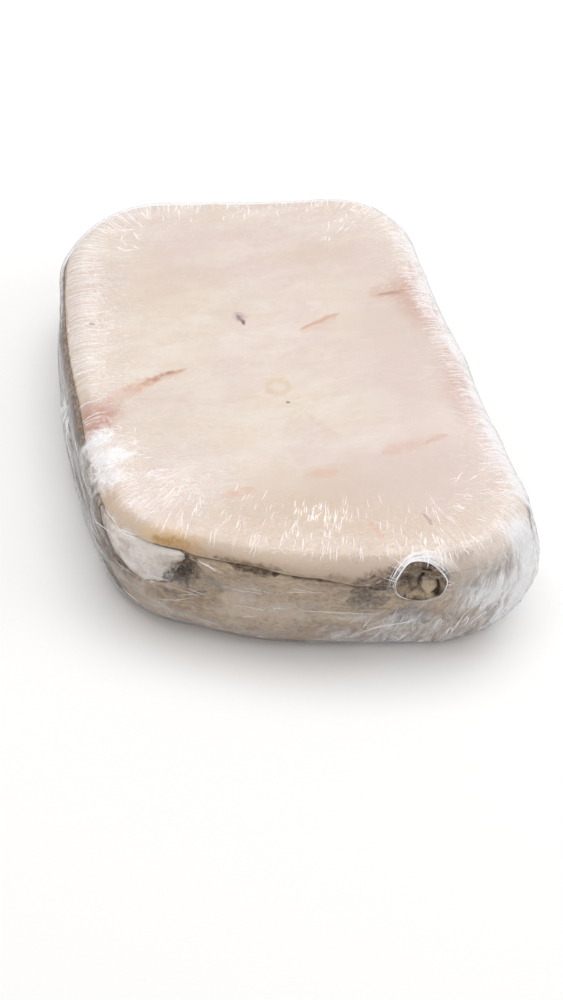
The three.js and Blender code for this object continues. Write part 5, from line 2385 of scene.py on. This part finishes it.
@dataclass
class Strands:
    """Lines in millimetres with a thickness at each point, made into closed strands by nodes."""

    form: SlabForm
    points: list[Array] = field(default_factory=list)
    radii: list[Array] = field(default_factory=list)
    closed: list[bool] = field(default_factory=list)
    sides: int = 6

    def add(self, points: Array, radius: Array, closed: bool = False) -> None:
        """Adds a line with its radii.

        Args:
            points: The line's points.
            radius: One radius, or one at each point.
            closed: Whether the line's end joins its start.
        """
        self.points.append(points)
        self.radii.append(np.broadcast_to(radius, points.shape[:1]).copy())
        self.closed.append(closed)

    def build(self, name: str, finish: bpy.types.Material) -> bpy.types.Object:
        """Makes the strands.

        Args:
            name: The object's name.
            finish: The strands' material.

        Returns:
            The strands' object.
        """
        edges = []
        start = 0
        for line, closed in zip(self.points, self.closed):
            count = len(line)
            edges += [(start + index, start + index + 1) for index in range(count - 1)]
            if closed:
                edges.append((start + count - 1, start))
            start += count
        mesh = bpy.data.meshes.new(name)
        mesh.from_pydata(self.form.placed(np.concatenate(self.points)), edges, [])
        piece = linked(name, mesh)
        give_values(piece, "radius_here", np.concatenate(self.radii) * MM)
        book = Recipe(name)
        sides = book.entry("Sides", "NodeSocketInt")
        coat = book.entry("Finish", "NodeSocketMaterial")
        path = book.node("GeometryNodeMeshToCurve", {}, {"Mesh": book.source()})
        made = book.tube(path, sides, book.attribute("radius_here"))
        last = book.coated(book.node("GeometryNodeRealizeInstances", {}, {0: made}), coat)
        book.run(piece, last, {"Sides": self.sides, "Finish": finish})
        return piece


@dataclass
class FilmFolds:
    """The loose folds of the film on the walls, round the vent and at the seam's end."""

    form: SlabForm
    wrap: FilmWrap
    vent: Vent
    step: float = 1.2
    thinnest: float = 0.12
    line_points: int = 26
    ridge_sway: float = 0.12
    vent_margin: float = 2.5
    seed: int = 41
    lug_strands: int = 34
    bundle_strands: int = 11
    hairs: int = 32
    whole_rings: tuple[Pair, ...] = ((1.0, 0.14), (1.035, 0.1))
    zones: tuple[FoldZone, ...] = (
        FoldZone((12, 50), (5, 34), 36, (4, 13), 64, 8, 3, (0.06, 0.15)),
        FoldZone((40, 66), (6, 44), 14, (6, 16), 88, 6, 3, (0.08, 0.18)),
        FoldZone((66, 106), (4, 42), 20, (8, 20), 84, 16, 5, (0.1, 0.22)),
        FoldZone((-38, 16), (3, 24), 30, (4, 12), 38, 26, 5, (0.06, 0.15)),
        FoldZone((-165, -40), (3, 38), 22, (8, 26), 4, 9, 3, (0.06, 0.14)),
        FoldZone((-340, -150), (4, 40), 36, (8, 26), 3, 7, 3, (0.06, 0.14)),
        FoldZone((110, 300), (4, 44), 70, (10, 34), 24, 26, 5, (0.1, 0.28)),
        FoldZone((300, 402), (4, 44), 40, (10, 34), 0, 22, 5, (0.1, 0.26)),
    )
    slivers: tuple[FoldZone, ...] = (
        FoldZone((-94, 34), (16, 46), 90, (3, 10), 90, 8, 2, (0.06, 0.15)),
        FoldZone((-62, -30), (16, 42), 34, (4, 11), 88, 7, 2, (0.08, 0.2)),
        FoldZone((-4, 16), (8, 24), 16, (4, 9), 88, 7, 2, (0.1, 0.2)),
        FoldZone((-56, -43), (32, 41), 14, (2, 5), 84, 12, 3, (0.12, 0.24)),
        FoldZone((-130, -100), (16, 38), 24, (5, 10), 92, 10, 3, (0.07, 0.16)),
        FoldZone((-194, -158), (8, 32), 60, (3, 8), 70, 50, 14, (0.07, 0.15)),
        FoldZone((-160, -126), (16, 44), 34, (4, 10), 90, 12, 4, (0.06, 0.14)),
        FoldZone((44, 100), (12, 36), 26, (4, 9), 96, 20, 8, (0.08, 0.18)),
        FoldZone((-474, -352), (10, 26), 46, (4, 9), 90, 14, 4, (0.08, 0.18)),
        FoldZone((-366, -334), (24, 40), 10, (6, 14), 60, 45, 6, (0.12, 0.26)),
        FoldZone((290, 326), (12, 44), 18, (4, 10), 60, 40, 8, (0.08, 0.18)),
    )
    ridges: tuple[tuple[Pair, Pair, float], ...] = (
        ((-141, 45), (-126, 47.4), 0.2),
        ((-139, 44), (-124, 46), 0.16),
        ((-150, 47.4), (-136, 46), 0.16),
        ((-158, 34), (-137, 43.4), 0.16),
        ((-96, 44), (-87, 41), 0.18),
        ((-50, 25), (-18, 24), 0.16),
        ((-24, 12), (2, 20), 0.3),
        ((46, 8), (54, 30), 0.5),
        ((58, 10), (64, 36), 0.55),
        ((66, 14), (70, 42), 0.5),
    )

    hooks: tuple[Pair, ...] = (
        (39, 25), (29, 24), (27, 17), (21, 16), (46, 23), (15, 11), (37, 32), (33, 21), (52, 30),
        (43, 14), (35, 12), (57, 24), (24, 28), (10, 17),
    )

    def _line(self, along: Array, up: Array, sink: Array) -> Array:
        """Lays a line on the film."""
        offset = self.form.film_outside + self.wrap.relief(along, up) - sink
        return self.form.film_point(along, up, offset)

    def _tapered(self, count: int, power: float) -> Array:
        """Gives shares of a line's thickness, full in the middle and thin at its ends."""
        return np.maximum(np.sin(np.pi * np.linspace(0, 1, count)) ** power, self.thinnest)

    def top(self) -> Strands:
        """Lays the short bright slivers round the top's rim.

        Returns:
            The slivers.
        """
        form = self.form
        strands = Strands(form)
        draw = np.random.default_rng(self.seed + 2)
        for zone in self.slivers:
            for _ in range(zone.count):
                along, inward = zone.walk(draw, self.step)
                radius = draw.uniform(*zone.radius) * self._tapered(len(along), 0.7)
                offset = form.film_outside - radius * 0.4
                strands.add(form.rim_point(along, np.maximum(inward, 2), offset), radius)
        return strands

    def walls(self) -> Strands:
        """Lays the folds of every zone on the walls, and the ridges that have their own place.

        Returns:
            The folds.
        """
        strands = Strands(self.form)
        draw = np.random.default_rng(self.seed)
        self._add_ridges(strands, draw)
        self._add_hooks(strands, draw)
        self._add_lug_strands(strands, draw)
        self._add_zones(strands, draw)
        return strands

    def _add_ridges(self, strands: Strands, draw: np.random.Generator) -> None:
        """Adds the ridges that have their own place.

        Args:
            strands: The strands so far.
            draw: The source of chance.
        """
        for start, end, radius in self.ridges:
            share = np.linspace(0, 1, self.line_points)
            sway = np.cumsum(draw.normal(0, self.ridge_sway, self.line_points))
            along = start[0] + (end[0] - start[0]) * share
            up = start[1] + (end[1] - start[1]) * share + sway
            thick = radius * self._tapered(len(share), 0.6)
            strands.add(self._line(along, up, thick * 0.5), thick)

    def _add_hooks(self, strands: Strands, draw: np.random.Generator) -> None:
        """Adds the small open loops of film at the near right corner.

        Args:
            strands: The strands so far.
            draw: The source of chance.
        """
        for middle, height in self.hooks:
            turn = np.radians(np.linspace(draw.uniform(-60, 20), draw.uniform(200, 290), 30))
            long, wide = draw.uniform(2.6, 4.6), draw.uniform(0.8, 1.5)
            bend = np.radians(draw.normal(64, 9))
            across, climb = wide * np.cos(turn), long * np.sin(turn)
            along = middle + climb * np.cos(bend) + across * np.sin(bend)
            up = height + climb * np.sin(bend) - across * np.cos(bend)
            thick = draw.uniform(0.16, 0.28) * np.maximum(np.sin(np.linspace(0, np.pi, 30)), 0.2)
            strands.add(self._line(along, up, thick * 0.5), thick)

    def _add_lug_strands(self, strands: Strands, draw: np.random.Generator) -> None:
        """Adds the strands that spread from the seam's end, thin at their far ends.

        Args:
            strands: The strands so far.
            draw: The source of chance.
        """
        for _ in range(self.lug_strands):
            turn = draw.normal(0, 0.5) + np.pi * draw.integers(0, 2)
            way = np.linspace(2.2, draw.uniform(7, 17), 14)
            bend = turn + draw.normal(0, 0.25) * way / 10
            along = SEAM_END[0] + way * np.cos(bend)
            up = SEAM_END[1] + draw.uniform(-3.4, 3.4) + way * np.sin(bend)
            thick = draw.uniform(0.1, 0.24) * np.linspace(1, 0.15, 14)
            strands.add(self._line(along, np.clip(up, 4, 46), thick * 0.4), thick)

    def _add_zones(self, strands: Strands, draw: np.random.Generator) -> None:
        """Adds the folds of every zone, apart from those that would cross the vent.

        Args:
            strands: The strands so far.
            draw: The source of chance.
        """
        width = self.vent.half_width + self.vent_margin
        height = self.vent.half_height + self.vent_margin
        for zone in self.zones:
            for _ in range(zone.count):
                along, up = zone.walk(draw, self.step)
                up = np.clip(up, 2, 48)
                if (self.vent.reach(self.form, along, up, width, height) < 1).any():
                    continue
                radius = draw.uniform(*zone.radius) * self._tapered(len(along), 0.7)
                strands.add(self._line(along, up, radius * 0.45), radius)

    def vent_rim(self) -> Strands:
        """Lays the bunched strands of the vent's edge.

        Returns:
            The strands.
        """
        strands = Strands(self.form)
        draw = np.random.default_rng(self.seed + 1)
        self._add_rings(strands)
        self._add_bundle(strands, draw)
        self._add_hairs(strands, draw)
        return strands

    def _round_vent(self, reach: Array, angle: Array) -> tuple[Array, Array]:
        """Gives places round the vent at shares of its radii."""
        along = self.vent.along + self.vent.half_width * reach * np.cos(angle)
        return along, self.vent.up + self.vent.half_height * reach * np.sin(angle)

    def _add_rings(self, strands: Strands) -> None:
        """Adds the strands that run all the way round, thicker above.

        Args:
            strands: The strands so far.
        """
        for reach, radius in self.whole_rings:
            angle = np.linspace(0, 2 * np.pi, 96, endpoint=False)
            wobble = reach + 0.02 * np.sin(3 * angle + reach * 40) + 0.012 * np.sin(7 * angle)
            along, up = self._round_vent(wobble, angle)
            thick = radius * (1.1 + 0.3 * np.sin(5 * angle + reach * 20) + 0.7 * np.sin(angle))
            strands.add(self._line(along, up, thick * 0.2), thick, closed=True)

    def _add_bundle(self, strands: Strands, draw: np.random.Generator) -> None:
        """Adds the bundle over the vent's top, which fans out to the right.

        Args:
            strands: The strands so far.
            draw: The source of chance.
        """
        for index in range(self.bundle_strands):
            start, end = draw.uniform(2, 30), draw.uniform(110, 190)
            angle = np.radians(np.linspace(start, end, 44))
            fan = (0.5 + 0.5 * np.cos(angle)) ** 2
            wobble = 1.05 + 0.02 * index + (0.05 + 0.04 * index) * fan
            wobble = wobble + 0.012 * np.sin(4 * angle + index)
            along, up = self._round_vent(wobble, angle)
            thick = draw.uniform(0.1, 0.22) * self._tapered(44, 0.6)
            strands.add(self._line(along, up, thick * 0.3), thick)

    def _add_hairs(self, strands: Strands, draw: np.random.Generator) -> None:
        """Adds the short wrinkles that run outward from the vent's sides and top.

        Args:
            strands: The strands so far.
            draw: The source of chance.
        """
        for _ in range(self.hairs):
            angle = draw.uniform(-0.45, np.pi + 0.45)
            length = draw.uniform(3, 10)
            out = np.linspace(1.02, 1.02 + length / 11, 12)
            bend = angle + draw.uniform(-0.3, 0.3) * (out - 1)
            along, up = self._round_vent(out, bend)
            thick = draw.uniform(0.06, 0.14) * np.linspace(1, 0.15, 12)
            strands.add(self._line(along, up, thick * 0.4), thick)


@dataclass
class SeamLug:
    """The bunched end of the film's seam on the left side: a small pleated tab."""

    form: SlabForm
    maker: MeshMaker
    along: float = SEAM_END[0]
    up: float = SEAM_END[1]
    half_length: float = 4.2
    half_height: float = 5
    half_width: float = 2.6
    pleats: int = 7
    pleat_depth: float = 0.24

    def build(self) -> bpy.types.Object:
        """Makes the lug as a twisted, pleated pod that is half sunk in the film.

        Returns:
            The lug's object.
        """
        rings, count = 26, 84
        share = np.linspace(0, 1, rings + 2)[1:-1, None]
        angle = (2 * np.pi * np.arange(count) / count)[None, :]
        full = np.sin(np.pi * share) ** 0.7
        pleat = 1 + self.pleat_depth * np.cos(self.pleats * angle + 5.5 * share)
        along = self.along + self.half_length * full * pleat * np.cos(angle)
        out = self.half_width * full * pleat * np.sin(angle)
        up = self.up + self.half_height * (2 * share - 1) + 0 * angle
        centre = self.form.film_outside
        body = self.form.film_point(along, up, out + centre).reshape(-1, 3)
        ends = self.form.film_point(
            np.array([self.along, self.along]),
            np.array([self.up - self.half_height, self.up + self.half_height]),
            np.array([centre, centre]),
        )
        faces = [tuple(face[::-1]) for face in grid_faces(rings, count).tolist()]
        faces += pole_faces(rings * count, 0, count, outward=True)
        faces += pole_faces(rings * count + 1, (rings - 1) * count, count, outward=False)
        return self.maker.build("seam_lug", np.concatenate([body, ends]), faces)


@dataclass
class Studio:
    """The pale floor, the soft lights and the camera at the photograph's angle."""

    target: tuple[float, float, float] = (-3.556, -39.878, 0.0)
    azimuth: float = -12.5
    elevation: float = 46.0
    distance: float = 974.0
    lens: float = 73.8
    sensor: float = 36.0
    floor_size: float = 8.0
    surroundings: Colour = (1.0, 0.98, 0.955, 1.0)
    surroundings_power: float = 0.5
    lights: tuple[tuple[str, tuple[float, float, float], Pair, float], ...] = (
        ("key", (0.9, 0.5, 1.5), (0.8, 0.6), 3),
        ("overhead", (0.12, 1.0, 2.4), (2.4, 1.6), 37.4),
        ("right_fill", (1.3, -0.3, 0.9), (0.9, 0.7), 4),
        ("left_fill", (-1.3, -0.1, 0.9), (0.9, 0.7), 1.8),
    )

    def camera(self, form: SlabForm) -> None:
        """Makes the camera.

        Args:
            form: The slab's form, for its shift.
        """
        turn, tilt = math.radians(self.azimuth), math.radians(self.elevation)
        back = np.array([
            math.sin(turn) * math.cos(tilt),
            -math.cos(turn) * math.cos(tilt),
            math.sin(tilt),
        ])
        aim = np.array(self.target) + np.array([form.shift[0], form.shift[1], 0])
        data = bpy.data.cameras.new("camera")
        data.lens, data.sensor_width = self.lens, self.sensor
        data.clip_start, data.clip_end = 0.05, 30.0
        camera = linked("camera", data)
        camera.location = (aim + back * self.distance) * MM
        camera.rotation_euler = (math.pi / 2 - tilt, 0.0, turn)
        bpy.context.scene.camera = camera

    def light(self, name: str, place: tuple[float, float, float], size: Pair, power: float) -> None:
        """Makes a soft rectangular light that faces the slab.

        Args:
            name: The light's name.
            place: Where it stands, in metres.
            size: Its width and height, in metres.
            power: Its power in watts.
        """
        data = bpy.data.lights.new(name, "AREA")
        data.shape, data.size, data.size_y, data.energy = "RECTANGLE", size[0], size[1], power
        lamp = linked(name, data)
        lamp.location = place
        flat = math.hypot(place[0], place[1])
        lamp.rotation_euler = (math.atan2(flat, place[2]), 0.0, math.atan2(place[0], -place[1]))

    def build(self, form: SlabForm) -> None:
        """Makes the floor, the surroundings, the lights and the camera.

        Args:
            form: The slab's form, for its shift.
        """
        half = self.floor_size / 2
        corners = [(-half, -half, 0), (half, -half, 0), (half, half, 0), (-half, half, 0)]
        mesh = bpy.data.meshes.new("floor")
        mesh.from_pydata(corners, [], [(0, 1, 2, 3)])
        floor = linked("floor", mesh)
        book = Finish("floor")
        cloud = book.noise(book.node("ShaderNodeTexCoord", output="Object"), 1.5)
        colour = book.blend(cloud * 0.1, tint(247, 247, 247), tint(244, 244, 244))
        shader = book.node("ShaderNodeBsdfPrincipled", {}, {"Base Color": colour, "Roughness": 0.6})
        mesh.materials.append(book.finished(shader))
        world = bpy.data.worlds.new("surroundings")
        world.use_nodes = True
        sky = world.node_tree.nodes["Background"].inputs
        sky["Color"].default_value = self.surroundings
        sky["Strength"].default_value = self.surroundings_power
        bpy.context.scene.world = world
        bpy.context.scene.view_settings.view_transform = "Standard"
        for name, place, size, power in self.lights:
            self.light(name, place, size, power)
        self.camera(form)


def main() -> None:
    """Builds the wrapped slab piece by piece, then the studio."""
    logging.basicConfig(level=logging.INFO, format="%(name)s: %(message)s")
    form = SlabForm()
    maker = MeshMaker(form)
    vent, flap = Vent(), Flap()
    fillets = Fillets(form, maker, vent, flap)
    pale = PaleFleshFinish().material(form.shift)
    grey = GreyFleshFinish().material()
    belly = BellyFinish().material()
    bare = VentFleshFinish().material()
    film = FilmFinish()
    clear = film.material()
    dress(fillets.upper(), pale, Slot.PALE_FLESH, "upper_fillets")
    dress(fillets.lower(), grey, Slot.GREY_FLESH, "lower_fillets")
    dress(fillets.belly_flap(), belly, Slot.BELLY_FLESH, "belly_flap")
    dress(fillets.vent_flesh(), bare, Slot.GREY_FLESH)
    wrap = FilmWrap(form, maker, vent)
    shell = wrap.build()
    dress(shell, clear, Slot.FILM, "shrink_film")
    # The last number of each fold material is its painted glow.
    tucked = film.fold_material("tucked_film", 0.52, 0.2)
    folded = film.fold_material("folded_film", 0.8, 0.16)
    bright = film.fold_material("bright_film", 0.72, 0.3)
    gathers = RimGathers(form, maker)
    dress(gathers.build("rim_gathers", shell, tucked), tucked, Slot.FILM)
    fine = RimGathers(form, maker, 1.3, 0.12, 0.3, 0.5, seed=17)
    dress(fine.build("fine_gathers", shell, tucked), tucked, Slot.FILM)
    folds = FilmFolds(form, wrap, vent)
    dress(folds.walls().build("film_folds", folded), folded, Slot.FILM)
    dress(folds.top().build("film_slivers", bright), bright, Slot.FILM)
    dress(folds.vent_rim().build("vent_rim", folded), folded, Slot.FILM)
    lug = film.fold_material("lug_film", 0.74, 0.0)
    dress(SeamLug(form, maker).build(), lug, Slot.FILM)
    Studio().build(form)


if __name__ == "__main__":
    main()
